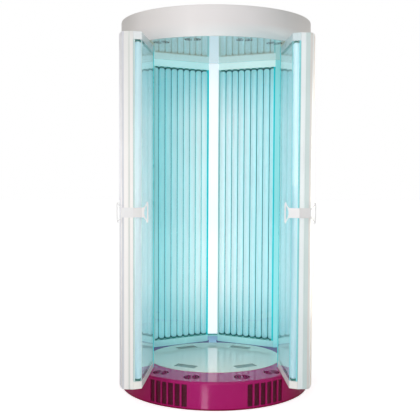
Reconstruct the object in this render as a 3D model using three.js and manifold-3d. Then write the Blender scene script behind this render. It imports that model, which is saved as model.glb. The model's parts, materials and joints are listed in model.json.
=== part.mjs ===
// Vertical tanning booth: a round stand-up cabin with two lamp-lined doors, shown with its doors open.
// Millimetres, +Z up. The front faces -Y, and the origin lies on the floor under the middle of the booth.
import * as THREE from 'three';
import { mergeVertices } from 'three/addons/utils/BufferGeometryUtils.js';
import Module from 'manifold-3d';

const wasm = await Module();
wasm.setup();

// Whole booth
const rimRadius = 575;
const rimOverhang = 47;
const baseHeight = 160;
const canopyDepth = 168;
const sheet = 3;
const seat = 0.3;
const curveGap = 1;
const overcut = 1;
const roundSegments = 56;
const fullTurn = 360;

// Base drum, floor pan and floor plate
const skirtWall = 6;
const skirtLift = 2;
const rimFillet = 12;
const filletSteps = 2;
const deckThickness = 11;
const panThickness = 5;
const floorRadius = 380;
const floorThickness = 6;
const ledgeWidth = 16;
const floorPostRadius = 14;
const floorPostCircle = 250;
const floorSlotLength = 120;
const floorSlotWidth = 35;
const floorSlotCircle = 287;
const floorSlotBearing = 36;
const intakeCount = 6;
const intakeWidth = 26;
const intakeHeight = 125;
const intakeSill = 16;
const intakeFirstBearing = 18.6;
const intakePitch = 4.1;
const grilleThickness = 2;
const grilleMargin = 3;

// Round air outlets, in the deck of the base and in the ceiling
const outletRadius = 45;
const outletSetback = 89;
const outletBearings = [17, 41];
const outletRings = 2;
const outletSlot = 7;
const outletLand = 9;
const outletBar = 10;
const outletSteps = 4;

// Canopy
const hoopWall = 6;
const hoopFillet = 5;
const flangeWidth = 22;
const ceilingThickness = 5;
const lidThickness = 4;
const lidRecess = 4;
const exhaustSlots = 8;
const exhaustSlotWidth = 11;
const exhaustSlotLength = 62;
const exhaustSlotCircle = 64;

// Fans
const fanSide = 210;
const fanDepth = 55;
const fanBore = 96;
const fanHubRadius = 30;
const fanHubHeight = 22;
const fanStrutWidth = 12;
const fanStrutHeight = 6;
const fanShaftRadius = 5;
const fanShaftLength = 18;
const fanBlades = 5;
const fanBladeChord = 42;
const fanBladeThickness = 2.5;
const fanBladePitch = 32;
const fanTipGap = 5;
const fanRunGap = 0.5;
const fanSegments = 16;

// Lamp banks
const lampPitch = 45;
const lampRadius = 19;
const lampLength = 1764;
const lampCapRadius = 17;
const lampShoulder = 16;
const lampSegments = 10;
const lampGap = 2;
const acrylic = 4;
const railHeight = 44;
const railDepth = 44;
const holderRadius = 14;
const holderHeight = 14.7;
const holderSegments = 6;
const reflector = 2;

// Rear wall: two banks in a shallow V, with a white post between them
const postWidth = 64;
const postGap = 0.6;
const postNotchDepth = 26;
const bankSetback = 104;
const bankAngle = 27.4;

// Fixed side walls
const sideWallSetback = 92;
const sideLipReach = 3;
const sideFlangeGap = 4;
const bankEndGap = 44;
const ballastDepth = 38;
const ballastWidth = 120;
const ballastHeight = 90;
const ballastPitch = 180;
const ballastTrayWidth = 300;

// Doors, drawn closed and swung open about their pivots
const pivotBearing = 57.2;
const stileRadius = 43;
const stileClearance = 5;
const stileGap = 0.5;
const stileSegments = 24;
const pinRadius = 10;
const pinGap = 0.6;
const collarRadius = 18;
const doorGap = 4;
const doorInset = 43;
const doorClosedAngle = 28;
const leftDoorOpening = 67.4;
const rightDoorOpening = 63.8;
const doorRailHeight = 41;
const doorRailStart = 20;
const meetingGap = 5;
const meetingDepth = 47;
const doorEdgeBearing = 3.55;
const edgePostBearing = 6.9;
const edgePostGap = 0.06;
const edgePostSteps = 3;
const edgePostGrooveWidth = 9;
const edgePostGrooveDepth = 3;
const edgePostGrooveShare = 0.4;
const doorLampPitchLeast = 42;

// Door handles: a flat strap over the meeting edge with a bow-shaped grip at each end
const handleHeight = 1100;
const handleThickness = 3.5;
const handleBand = 52;
const gripHeight = 112;
const gripReachInside = 35;
const gripReachOutside = 25;
const gripBar = 7;

// Heights and places worked out from the sizes above
const shellRadius = rimRadius - rimOverhang;
const outletCircle = rimRadius - outletSetback;
const skirtInner = rimRadius - skirtWall;
const deckUnderside = baseHeight - deckThickness;
const floorUnderside = baseHeight - floorThickness;
const lampFloor = baseHeight + railHeight;
const lampBottom = lampFloor + holderHeight + seat;
const lampRoof = lampBottom + lampLength + seat + holderHeight;
const ceilingHeight = lampRoof + railHeight;
const boothHeight = ceilingHeight + canopyDepth;
const ceilingTop = ceilingHeight + ceilingThickness;
const hoopInner = rimRadius - hoopWall;
const lidTop = boothHeight - lidRecess;
const lidUnderside = lidTop - lidThickness;
const wallBottom = baseHeight + seat;
const wallTop = ceilingHeight - seat;
const bankFront = shellRadius - bankSetback;
const sideWall = shellRadius - sideWallSetback;
const bankWidth = (sideWall - bankEndGap - postWidth / 2) / Math.cos(THREE.MathUtils.degToRad(bankAngle));
const lampCount = Math.floor(bankWidth / lampPitch);
const lampSetback = acrylic + lampGap + lampRadius;
const shellInner = shellRadius - sheet;
const pivot = polar(shellRadius - stileRadius, pivotBearing);
const jambFront = pivot.y + stileRadius + stileClearance;
const sideLip = pivot.x - sideLipReach;
const doorBottom = baseHeight + doorGap;
const doorTop = ceilingHeight - doorGap;
const doorLampFloor = doorBottom + doorRailHeight;
const doorLampRoof = doorTop - doorRailHeight;
const doorReach = leafReach(meetingGap, doorInset);
const innerCorner = leaf(doorReach, doorInset);
const ridge = new THREE.Vector2(meetingGap, innerCorner.y - meetingDepth);
const outerCorner = polar(shellRadius, doorEdgeBearing);
const doorLampInset = doorInset - lampSetback;
const trayStart = stileRadius + stileClearance;
const trayEnd = leafReach(meetingGap + acrylic + lampGap, doorLampInset + holderRadius);
const doorLampStart = trayStart + lampRadius - lampGap;
const doorLampEnd = leafReach(meetingGap + acrylic + lampGap + lampRadius, doorLampInset);
const doorLampCount = Math.floor((doorLampEnd - doorLampStart) / doorLampPitchLeast) + 1;
const doorLampPitch = (doorLampEnd - doorLampStart) / (doorLampCount - 1);

// Finishes
const whiteEnamel = finish(0xe6e6e8, 0.35);
const magentaGloss = finish(0xa32e6d, 0.25);
const mintFloor = finish(0xc6dcd8, 0.2);
const mirrorCeiling = finish(0xc4d4d4, 0.08, 0.6);
const darkMesh = finish(0x4a1832, 0.7);
const steel = finish(0x9a9da0, 0.5, 0.8);
const blackPlastic = finish(0x222426, 0.6);
const brightReflector = finish(0xb9d6d8, 0.15, 0.9);
const lampGlass = finish(0xdaf2f4, 0.15);
const clearAcrylic = finish(0x8fd8da, 0.05);
const whiteProfile = finish(0xf0efec, 0.4);
const handleWhite = finish(0xe4e4e4, 0.3);

function finish(color, roughness, metalness = 0) {
  return new THREE.MeshStandardMaterial({ color, roughness, metalness });
}

// A point at a bearing in degrees from the front of the booth, turning towards +X.
function polar(radius, bearing) {
  const angle = THREE.MathUtils.degToRad(bearing);
  return new THREE.Vector2(radius * Math.sin(angle), -radius * Math.cos(angle));
}

// Points along a circle about the middle of the booth.
function rimArc(radius, from, to, steps) {
  return Array.from({ length: steps + 1 }, (_, i) => polar(radius, from + ((to - from) * i) / steps));
}

// Points along a circle about any centre, with angles in radians from +X.
function arc(centre, radius, from, to, steps) {
  return Array.from({ length: steps + 1 }, (_, i) => {
    const angle = from + ((to - from) * i) / steps;
    return new THREE.Vector2(centre.x + radius * Math.cos(angle), centre.y + radius * Math.sin(angle));
  });
}

// A point of the closed right door: along the inner face from the pivot, then in towards the cabin.
function leaf(along, inward) {
  const angle = THREE.MathUtils.degToRad(doorClosedAngle);
  return new THREE.Vector2(
    pivot.x - along * Math.cos(angle) - inward * Math.sin(angle),
    pivot.y - along * Math.sin(angle) + inward * Math.cos(angle),
  );
}

// How far along the closed door a line parallel to its face meets a given x.
function leafReach(x, inward) {
  const angle = THREE.MathUtils.degToRad(doorClosedAngle);
  return (pivot.x - x - inward * Math.sin(angle)) / Math.cos(angle);
}

// Bearing at which a circle about the booth comes within a distance of the pivot, on the door's side.
function bearingNearPivot(radius, distance) {
  const reach = pivot.length();
  const cosine = (radius * radius + reach * reach - distance * distance) / (2 * radius * reach);
  return pivotBearing - THREE.MathUtils.radToDeg(Math.acos(cosine));
}

function prism(outline, bottom, top) {
  const options = { depth: top - bottom, bevelEnabled: false };
  return new THREE.ExtrudeGeometry(new THREE.Shape(outline), options).translate(0, 0, bottom);
}

function rectangle(left, front, right, back) {
  return [[left, front], [right, front], [right, back], [left, back]].map((p) => new THREE.Vector2(...p));
}

function revolve(profile, segments = roundSegments) {
  const points = profile.map(([radius, height]) => new THREE.Vector2(radius, height));
  return new THREE.LatheGeometry(points, segments).rotateX(Math.PI / 2);
}

function rod(radius, bottom, top, segments = lampSegments) {
  return revolve([[0, bottom], [radius, bottom], [radius, top], [0, top]], segments);
}

function fillet(radius, height, size) {
  const centre = new THREE.Vector2(radius - size, height - size);
  return arc(centre, size, 0, Math.PI / 2, filletSteps).map((p) => [p.x, p.y]);
}

// A box that stands square to a circle about the booth.
function radialBox(width, depth, height, radius, bearing, middle) {
  const place = polar(radius, bearing);
  const box = new THREE.BoxGeometry(width, depth, height);
  return box.rotateZ(THREE.MathUtils.degToRad(bearing)).translate(place.x, place.y, middle);
}

function solid(geometry) {
  const bare = geometry.clone();
  bare.deleteAttribute('normal');
  bare.deleteAttribute('uv');
  const merged = mergeVertices(bare, 1e-3);
  const vertProperties = new Float32Array(merged.attributes.position.array);
  const triVerts = new Uint32Array(merged.index.array);
  return new wasm.Manifold(new wasm.Mesh({ numProp: 3, vertProperties, triVerts }));
}

function geometryOf(body) {
  const { vertProperties, triVerts } = body.getMesh();
  const geometry = new THREE.BufferGeometry();
  geometry.setAttribute('position', new THREE.BufferAttribute(vertProperties, 3));
  geometry.setIndex(new THREE.BufferAttribute(triVerts, 1));
  return geometry;
}

function join(...geometries) {
  return geometryOf(geometries.map(solid).reduce((all, next) => all.add(next)));
}

function cut(geometry, tools) {
  return geometryOf(tools.map(solid).reduce((rest, tool) => rest.subtract(tool), solid(geometry)));
}

function piece(name, geometry, material) {
  const mesh = new THREE.Mesh(geometry, material);
  mesh.name = name;
  return mesh;
}

// The name of each side, its sign in x, and how far its door stands open.
const sides = [['left', -1, leftDoorOpening], ['right', 1, rightDoorOpening]];

// Rings of half-round slots on both sides of a bar that points to the middle of the booth.
function outletCuts(bearing, bottom, top) {
  const place = polar(outletCircle, bearing);
  const turn = THREE.MathUtils.degToRad(bearing);
  const middle = new THREE.Vector2();
  const cuts = [];
  for (let ring = 0; ring < outletRings; ring += 1) {
    const outer = outletRadius - ring * (outletSlot + outletLand);
    const inner = outer - outletSlot;
    const outerStart = Math.acos(outletBar / 2 / outer);
    const innerStart = Math.acos(outletBar / 2 / inner);
    for (const half of [0, Math.PI]) {
      const outline = [
        ...arc(middle, outer, half - outerStart, half + outerStart, outletSteps),
        ...arc(middle, inner, half + innerStart, half - innerStart, outletSteps),
      ];
      cuts.push(prism(outline, bottom, top).rotateZ(turn).translate(place.x, place.y, 0));
    }
  }
  return cuts;
}

function allOutletCuts(bottom, top) {
  return outletBearings.flatMap((b) => [...outletCuts(b, bottom, top), ...outletCuts(-b, bottom, top)]);
}

function pivotHoles(bottom, top) {
  return sides.map(([, sign]) =>
    rod(pinRadius + pinGap, bottom, top, stileSegments).translate(sign * pivot.x, pivot.y, 0));
}

// Flat pan on the floor, with posts that carry the floor plate
function basePan() {
  const disc = rod(skirtInner - curveGap, 0, panThickness, roundSegments);
  const posts = [0, 90, 180, 270].map((bearing) => {
    const place = polar(floorPostCircle, bearing);
    return rod(floorPostRadius, 0, floorUnderside - seat).translate(place.x, place.y, 0);
  });
  return piece('base_pan', join(disc, ...posts), steel);
}

// Moulded drum: skirt with two groups of intake slots, deck with round outlets and a ledge for the floor
function baseDrum() {
  const ledgeTop = floorUnderside - seat;
  const opening = floorRadius + curveGap;
  const profile = [
    [rimRadius, skirtLift],
    ...fillet(rimRadius, baseHeight, rimFillet),
    [opening, baseHeight],
    [opening, ledgeTop],
    [opening - ledgeWidth, ledgeTop],
    [opening - ledgeWidth, deckUnderside],
    [skirtInner, deckUnderside],
    [skirtInner, skirtLift],
    [rimRadius, skirtLift],
  ];
  const slots = [];
  for (let i = 0; i < intakeCount; i += 1) {
    const bearing = intakeFirstBearing + i * intakePitch;
    const middle = intakeSill + intakeHeight / 2;
    for (const [, sign] of sides) {
      const radius = rimRadius - skirtWall / 2;
      slots.push(radialBox(intakeWidth, skirtWall * 4, intakeHeight, radius, sign * bearing, middle));
    }
  }
  const outlets = allOutletCuts(deckUnderside - overcut, baseHeight + overcut);
  const holes = pivotHoles(deckUnderside - overcut, baseHeight + overcut);
  return piece('base_drum', cut(revolve(profile), [...slots, ...outlets, ...holes]), magentaGloss);
}

function ventGrille(name, sign) {
  const first = intakeFirstBearing - grilleMargin;
  const last = intakeFirstBearing + (intakeCount - 1) * intakePitch + grilleMargin;
  const outer = skirtInner - curveGap;
  const steps = intakeCount * 2;
  const outline = [
    ...rimArc(outer, sign * first, sign * last, steps),
    ...rimArc(outer - grilleThickness, sign * last, sign * first, steps),
  ];
  return piece(name, prism(outline, panThickness + seat, deckUnderside - seat), darkMesh);
}

function floorPlate() {
  const disc = rod(floorRadius, floorUnderside, baseHeight, roundSegments);
  const bearings = [floorSlotBearing, 180 - floorSlotBearing, 180 + floorSlotBearing, -floorSlotBearing];
  const slots = bearings.map((bearing) =>
    radialBox(floorSlotLength, floorSlotWidth, floorThickness * 3, floorSlotCircle, bearing, baseHeight));
  return piece('floor_plate', cut(disc, slots), mintFloor);
}

// Canopy hoop, with an upper flange for the lid and a lower one that the ceiling hangs from
function canopyHoop() {
  const flangeInner = hoopInner - flangeWidth;
  const lidFlange = lidUnderside - seat;
  const ceilingFlange = ceilingTop + seat;
  const profile = [
    [rimRadius, ceilingHeight],
    ...fillet(rimRadius, boothHeight, hoopFillet),
    [hoopInner, boothHeight],
    [hoopInner, lidFlange],
    [flangeInner, lidFlange],
    [flangeInner, lidFlange - sheet],
    [hoopInner, lidFlange - sheet],
    [hoopInner, ceilingFlange + sheet],
    [flangeInner, ceilingFlange + sheet],
    [flangeInner, ceilingFlange],
    [hoopInner, ceilingFlange],
    [hoopInner, ceilingHeight],
    [rimRadius, ceilingHeight],
  ];
  return piece('canopy_hoop', revolve(profile), whiteEnamel);
}

function canopyLid() {
  const disc = rod(hoopInner - curveGap, lidUnderside, lidTop, roundSegments);
  const slots = Array.from({ length: exhaustSlots }, (_, i) => {
    const bearing = (i * fullTurn) / exhaustSlots;
    const cutHeight = lidThickness * 4;
    return radialBox(exhaustSlotWidth, exhaustSlotLength, cutHeight, exhaustSlotCircle, bearing, lidTop);
  });
  return piece('canopy_lid', cut(disc, slots), whiteEnamel);
}

function ceilingPlate() {
  const disc = rod(hoopInner - curveGap, ceilingHeight, ceilingTop, roundSegments);
  const outlets = allOutletCuts(ceilingHeight - overcut, ceilingTop + overcut);
  const holes = pivotHoles(ceilingHeight - overcut, ceilingTop + overcut);
  return piece('ceiling_plate', cut(disc, [...outlets, ...holes]), mirrorCeiling);
}

// Axial fan: a square frame with a motor hub on struts, and a rotor that turns on its shaft
function fan(name, bottom) {
  const half = fanSide / 2;
  const block = prism(rectangle(-half, -half, half, half), bottom, bottom + fanDepth);
  const frame = cut(block, [rod(fanBore, bottom - overcut, bottom + fanDepth + overcut, fanSegments)]);
  const strutLength = fanSide - fanStrutWidth;
  const struts = [0, 90].map((bearing) =>
    radialBox(fanStrutWidth, strutLength, fanStrutHeight, 0, bearing, bottom + fanStrutHeight / 2));
  const hubTop = bottom + fanHubHeight;
  const motor = rod(fanHubRadius, bottom, hubTop, fanSegments);
  const shaft = rod(fanShaftRadius, bottom, hubTop + fanShaftLength);
  const rotorBottom = hubTop + fanRunGap;
  const rotorTop = bottom + fanDepth - fanTipGap;
  const bladeLength = fanBore - fanTipGap - fanHubRadius / 2;
  const blades = Array.from({ length: fanBlades }, (_, i) =>
    new THREE.BoxGeometry(fanBladeChord, bladeLength, fanBladeThickness)
      .rotateY(THREE.MathUtils.degToRad(fanBladePitch))
      .translate(0, fanBore - fanTipGap - bladeLength / 2, (rotorBottom + rotorTop) / 2)
      .rotateZ((i * 2 * Math.PI) / fanBlades));
  const hub = rod(fanHubRadius, rotorBottom, rotorTop, fanSegments);
  const bore = rod(fanShaftRadius + fanRunGap, bottom, hubTop + fanShaftLength + fanRunGap);
  const reach = rod(fanBore - fanTipGap / 2, rotorBottom, rotorTop, fanSegments);
  const wheel = geometryOf(solid(join(hub, ...blades)).intersect(solid(reach)));
  return [
    piece(`${name}_frame`, join(frame, ...struts, motor, shaft), steel),
    piece(`${name}_rotor`, cut(wheel, [bore]), blackPlastic),
  ];
}

// Outer wall round the back, from one door jamb to the other
function rearShell() {
  const start = THREE.MathUtils.radToDeg(Math.acos(-jambFront / shellRadius));
  const end = fullTurn - start;
  const steps = roundSegments / 2;
  const outline = [
    ...rimArc(shellRadius, start, end, steps),
    ...rimArc(shellInner, end, start, steps),
  ];
  return piece('rear_shell', prism(outline, wallBottom, wallTop), whiteEnamel);
}

function lampTube(bottom) {
  const top = bottom + lampLength;
  return revolve([
    [0, bottom],
    [lampCapRadius, bottom],
    [lampRadius, bottom + lampShoulder],
    [lampRadius, top - lampShoulder],
    [lampCapRadius, top],
    [0, top],
  ], lampSegments);
}

// One rear lamp bank, drawn with x from the post outwards and y back from its front face
function rearBank(side) {
  const lampPlaces = Array.from({ length: lampCount }, (_, i) => ((i + 0.5) * bankWidth) / lampCount);
  const section = rectangle(0, 0, bankWidth, railDepth);
  const holders = (bottom, top) =>
    lampPlaces.map((x) => rod(holderRadius, bottom, top, holderSegments).translate(x, lampSetback, 0));
  const lowHolders = holders(lampFloor - overcut, lampFloor + holderHeight);
  const highHolders = holders(lampRoof - holderHeight, lampRoof + overcut);
  const bottomRail = join(prism(section, wallBottom, lampFloor), ...lowHolders);
  const topRail = join(prism(section, lampRoof, wallTop), ...highHolders);
  const sheetSection = rectangle(0, 0, bankWidth, acrylic);
  const back = railDepth + seat;
  const mirrorSection = rectangle(0, back, bankWidth, back + reflector);
  const lamps = lampPlaces.map((x, i) =>
    piece(`rear_lamp_${side}_${i + 1}`, lampTube(lampBottom).translate(x, lampSetback, 0), lampGlass));
  const bank = new THREE.Group();
  bank.add(
    piece(`rear_bottom_rail_${side}`, bottomRail, whiteProfile),
    piece(`rear_top_rail_${side}`, topRail, whiteProfile),
    piece(`rear_acrylic_${side}`, prism(sheetSection, lampFloor + seat, lampRoof - seat), clearAcrylic),
    piece(`rear_reflector_${side}`, prism(mirrorSection, wallBottom, wallTop), brightReflector),
    ...lamps,
  );
  bank.position.set(postWidth / 2, bankFront, 0);
  bank.rotation.z = -THREE.MathUtils.degToRad(bankAngle);
  return bank;
}

// A point of the right-hand rear bank in the booth's own axes.
function bankPoint(along, back) {
  const turn = -THREE.MathUtils.degToRad(bankAngle);
  return new THREE.Vector2(along, back).rotateAround(new THREE.Vector2(), turn)
    .add(new THREE.Vector2(postWidth / 2, bankFront));
}

function centrePost() {
  const front = bankPoint(0, 0);
  const back = bankPoint(0, railDepth);
  const outline = rectangle(-front.x + postGap, front.y, front.x - postGap, back.y);
  outline[2].x = back.x - postGap;
  outline[3].x = -outline[2].x;
  const body = prism(outline, wallBottom, wallTop);
  const notch = prism(
    rectangle(-postWidth, front.y - overcut, postWidth, front.y + postNotchDepth), baseHeight, lampFloor);
  return piece('centre_post', cut(body, [notch]), whiteProfile);
}

// Fixed wall beside the hinge: jamb flange behind the door, plain web and a flange towards the rear bank
function sidePanel(side) {
  const bankEnd = bankPoint(bankWidth, railDepth + seat + reflector);
  const shellSide = Math.sqrt((shellInner - curveGap) ** 2 - jambFront ** 2);
  const jambBack = jambFront + sheet;
  const outline = [
    [sideLip, jambFront],
    [shellSide, jambFront],
    [shellSide, jambBack],
    [sideWall + sheet, jambBack],
    [sideWall + sheet, bankEnd.y],
    [bankEnd.x + sideFlangeGap, bankEnd.y],
    [bankEnd.x + sideFlangeGap, bankEnd.y - sheet],
    [sideWall, bankEnd.y - sheet],
    [sideWall, jambBack],
    [sideLip, jambBack],
  ].map((p) => new THREE.Vector2(...p));
  return piece(`side_panel_${side}`, prism(outline, wallBottom, wallTop), whiteEnamel);
}

// Tray of lamp ballasts on the hidden face of the side wall
function ballastTray(side) {
  const face = sideWall + sheet + seat;
  const half = ballastTrayWidth / 2;
  const middle = (wallBottom + wallTop) / 2;
  const ballastCount = Math.floor((wallTop - wallBottom) / ballastPitch) - 1;
  const reach = ((ballastCount - 1) * ballastPitch) / 2;
  const plateHalf = reach + ballastHeight;
  const plate = prism(rectangle(face, -half, face + sheet, half), middle - plateHalf, middle + plateHalf);
  const blocks = Array.from({ length: ballastCount }, (_, i) => {
    const bottom = middle - reach + i * ballastPitch - ballastHeight / 2;
    const block = rectangle(face, -ballastWidth / 2, face + sheet + ballastDepth, ballastWidth / 2);
    return prism(block, bottom, bottom + ballastHeight);
  });
  return piece(`ballast_tray_${side}`, join(plate, ...blocks), steel);
}

// Hinge column with a pin at each end
function doorStile(side) {
  const profile = [
    [0, deckUnderside],
    [pinRadius, deckUnderside],
    [pinRadius, wallBottom],
    [collarRadius, wallBottom],
    [collarRadius, doorBottom],
    [stileRadius, doorBottom],
    [stileRadius, doorTop],
    [pinRadius, doorTop],
    [pinRadius, ceilingTop],
    [0, ceilingTop],
  ];
  const column = revolve(profile, stileSegments).translate(pivot.x, pivot.y, 0);
  return piece(`door_stile_${side}`, column, whiteProfile);
}

function doorSkin(side) {
  const start = bearingNearPivot(shellInner, stileRadius + curveGap);
  const steps = roundSegments / 4;
  const outline = [
    ...rimArc(shellRadius, edgePostBearing + edgePostGap, start, steps),
    ...rimArc(shellInner, start, edgePostBearing + edgePostGap, steps),
  ];
  return piece(`door_skin_${side}`, prism(outline, doorBottom, doorTop), whiteEnamel);
}

// White profile along the free edge, with a shallow groove down its outer facet
function doorEdgePost(side) {
  const outline = [
    ridge,
    outerCorner,
    ...rimArc(shellRadius, doorEdgeBearing, edgePostBearing, edgePostSteps).slice(1),
    polar(ridge.length(), edgePostBearing),
  ];
  const facet = outerCorner.clone().sub(ridge);
  const place = ridge.clone().addScaledVector(facet, edgePostGrooveShare);
  const groove = new THREE.BoxGeometry(edgePostGrooveWidth, edgePostGrooveDepth * 2, boothHeight * 2)
    .rotateZ(facet.angle())
    .translate(place.x, place.y, 0);
  return piece(`door_edge_post_${side}`, cut(prism(outline, doorBottom, doorTop), [groove]), whiteProfile);
}

// Full-depth end block of a door, from the inner face to the skin and from the stile to the edge post
function doorRail(name, bottom, top) {
  const edge = edgePostBearing + edgePostGap;
  const outer = shellInner - curveGap;
  const stile = stileRadius + stileGap;
  const start = bearingNearPivot(outer, stile);
  const skinEnd = polar(outer, start).sub(pivot).angle();
  const faceEnd = leaf(doorRailStart, Math.sqrt(stile * stile - doorRailStart * doorRailStart));
  const outline = [
    leaf(doorRailStart, doorInset),
    innerCorner,
    new THREE.Vector2(ridge.x, ridge.y + stileGap),
    polar(ridge.length() - stileGap, edge),
    ...rimArc(outer, edge, start, roundSegments / 4),
    ...arc(pivot, stile, skinEnd, faceEnd.clone().sub(pivot).angle(), stileSegments / 2).slice(1),
  ];
  return piece(name, prism(outline, bottom, top), whiteProfile);
}

// Reflector, lamp holder strips and lamps of one door, wired up as one tray
function doorLampTray(side) {
  const bottom = doorLampFloor + seat;
  const top = doorLampRoof - seat;
  const front = doorLampInset + holderRadius;
  const back = doorLampInset - lampRadius - lampGap / 2;
  const strip = (top - bottom - lampLength) / 2;
  const plan = (from, to) =>
    [leaf(trayStart, from), leaf(trayEnd, from), leaf(trayEnd, to), leaf(trayStart, to)];
  const plate = prism(plan(back - reflector, back), bottom, top);
  const lowStrip = prism(plan(back - reflector, front), bottom, bottom + strip + overcut);
  const highStrip = prism(plan(back - reflector, front), top - strip - overcut, top);
  const lamps = Array.from({ length: doorLampCount }, (_, i) => {
    const place = leaf(doorLampStart + i * doorLampPitch, doorLampInset);
    return lampTube(bottom + strip).translate(place.x, place.y, 0);
  });
  return piece(`door_lamp_tray_${side}`, join(plate, lowStrip, highStrip, ...lamps), lampGlass);
}

// Clear sheet over the door's lamps, bent round the meeting edge
function doorAcrylic(side) {
  const inset = doorInset - acrylic;
  const end = ridge.y + acrylic / 2;
  const outline = [
    leaf(doorRailStart, doorInset),
    innerCorner,
    new THREE.Vector2(meetingGap, end),
    new THREE.Vector2(meetingGap + acrylic, end),
    leaf(leafReach(meetingGap + acrylic, inset), inset),
    leaf(doorRailStart, inset),
  ];
  const body = prism(outline, doorLampFloor + seat, doorLampRoof - seat);
  return piece(`door_acrylic_${side}`, body, clearAcrylic);
}

// Half of the handle's flat pattern: a band that ends in a bow with a finger hole.
// x runs along the strap to the grip, y is height, and the plate grows in +z.
function handleHalf(bandLength, gripReach) {
  const band = handleBand / 2;
  const tip = gripHeight / 2;
  const end = bandLength + gripReach;
  const shape = new THREE.Shape();
  shape.moveTo(0, -band);
  shape.lineTo(bandLength, -band);
  shape.quadraticCurveTo(end - gripBar * 1.6, -band - gripBar / 2, end - gripBar, -tip);
  shape.quadraticCurveTo(end, -tip, end, -tip + gripBar);
  shape.lineTo(end, tip - gripBar);
  shape.quadraticCurveTo(end, tip, end - gripBar, tip);
  shape.quadraticCurveTo(end - gripBar * 1.6, band + gripBar / 2, bandLength, band);
  shape.lineTo(0, band);
  const hole = new THREE.Path();
  const holeTop = tip - gripBar * 2;
  const holeStart = bandLength + gripBar;
  hole.moveTo(end - gripBar, -holeTop);
  hole.lineTo(end - gripBar, holeTop);
  hole.quadraticCurveTo(end - gripBar * 1.5, band / 2, holeStart, 0);
  hole.quadraticCurveTo(end - gripBar * 1.5, -band / 2, end - gripBar, -holeTop);
  shape.holes.push(hole);
  return new THREE.ExtrudeGeometry(shape, { depth: handleThickness, bevelEnabled: false, curveSegments: 5 });
}

// Lays a flat pattern on a facet of the closed door, from the ridge along a direction in plan.
function onFacet(geometry, direction, outward) {
  const along = new THREE.Vector3(direction.x, direction.y, 0);
  const normal = new THREE.Vector3(outward.x, outward.y, 0);
  const side = normal.clone().cross(along);
  const place = new THREE.Matrix4().makeBasis(along, side, normal);
  const start = new THREE.Vector3(ridge.x, ridge.y, handleHeight).addScaledVector(normal, seat);
  return geometry.applyMatrix4(place.setPosition(start));
}

function doorHandle(side) {
  const facet = outerCorner.clone().sub(ridge);
  const outwards = facet.clone().normalize();
  const inwards = new THREE.Vector2(0, 1);
  const bend = handleThickness * Math.tan((Math.PI - outwards.angleTo(inwards)) / 2);
  const inner = handleHalf(meetingDepth, gripReachInside);
  const outer = handleHalf(facet.length(), gripReachOutside);
  const strap = join(
    onFacet(inner, inwards, new THREE.Vector2(-1, 0)),
    onFacet(outer, outwards, new THREE.Vector2(outwards.y, -outwards.x)),
    prism(bendOutline(outwards, bend), handleHeight - handleBand / 2, handleHeight + handleBand / 2),
  );
  return piece(`door_handle_${side}`, strap, handleWhite);
}

// Wedge that fills the outside of the strap's bend over the ridge.
function bendOutline(outwards, bend) {
  const meetingNormal = new THREE.Vector2(-1, 0);
  const facetNormal = new THREE.Vector2(outwards.y, -outwards.x);
  const outer = seat + handleThickness;
  const mid = meetingNormal.clone().add(facetNormal).normalize();
  return [
    ridge.clone().addScaledVector(meetingNormal, seat),
    ridge.clone().addScaledVector(facetNormal, seat),
    ridge.clone().addScaledVector(facetNormal, outer),
    ridge.clone().addScaledVector(mid, Math.hypot(outer, bend)),
    ridge.clone().addScaledVector(meetingNormal, outer),
  ];
}

// A right-hand door in closed position, swung open about its pivot
function door(side, opening) {
  const leafGroup = new THREE.Group();
  leafGroup.add(
    doorStile(side),
    doorSkin(side),
    doorEdgePost(side),
    doorRail(`door_bottom_rail_${side}`, doorBottom, doorLampFloor),
    doorRail(`door_top_rail_${side}`, doorLampRoof, doorTop),
    doorLampTray(side),
    doorAcrylic(side),
    doorHandle(side),
  );
  leafGroup.position.set(-pivot.x, -pivot.y, 0);
  const swing = new THREE.Group();
  swing.add(leafGroup);
  swing.position.set(pivot.x, pivot.y, 0);
  swing.rotation.z = THREE.MathUtils.degToRad(opening);
  return swing;
}

const booth = new THREE.Group();
booth.add(
  basePan(),
  baseDrum(),
  ventGrille('vent_grille_left', -1),
  ventGrille('vent_grille_right', 1),
  floorPlate(),
  ...fan('base_fan', panThickness + seat),
  canopyHoop(),
  canopyLid(),
  ceilingPlate(),
  ...fan('exhaust_fan', lidUnderside - seat - fanDepth),
  rearShell(),
  centrePost(),
);
for (const [side, sign, opening] of sides) {
  const half = new THREE.Group();
  half.add(rearBank(side), sidePanel(side), ballastTray(side), door(side, opening));
  half.scale.x = sign;
  booth.add(half);
}

export default booth;
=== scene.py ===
"""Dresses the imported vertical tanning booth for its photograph.

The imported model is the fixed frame. Each sub-assembly below rebuilds its visible pieces with
bmesh operators, in metres and in the model's own frame, gives them their finishes, and lets
them ride on the model's bodies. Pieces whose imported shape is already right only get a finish.
"""

from __future__ import annotations

import json
import logging
import math
from dataclasses import dataclass
from enum import Enum
from typing import Any, Callable, ClassVar, Iterable, Sequence

import bmesh
import bpy
from mathutils import Matrix, Vector

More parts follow.
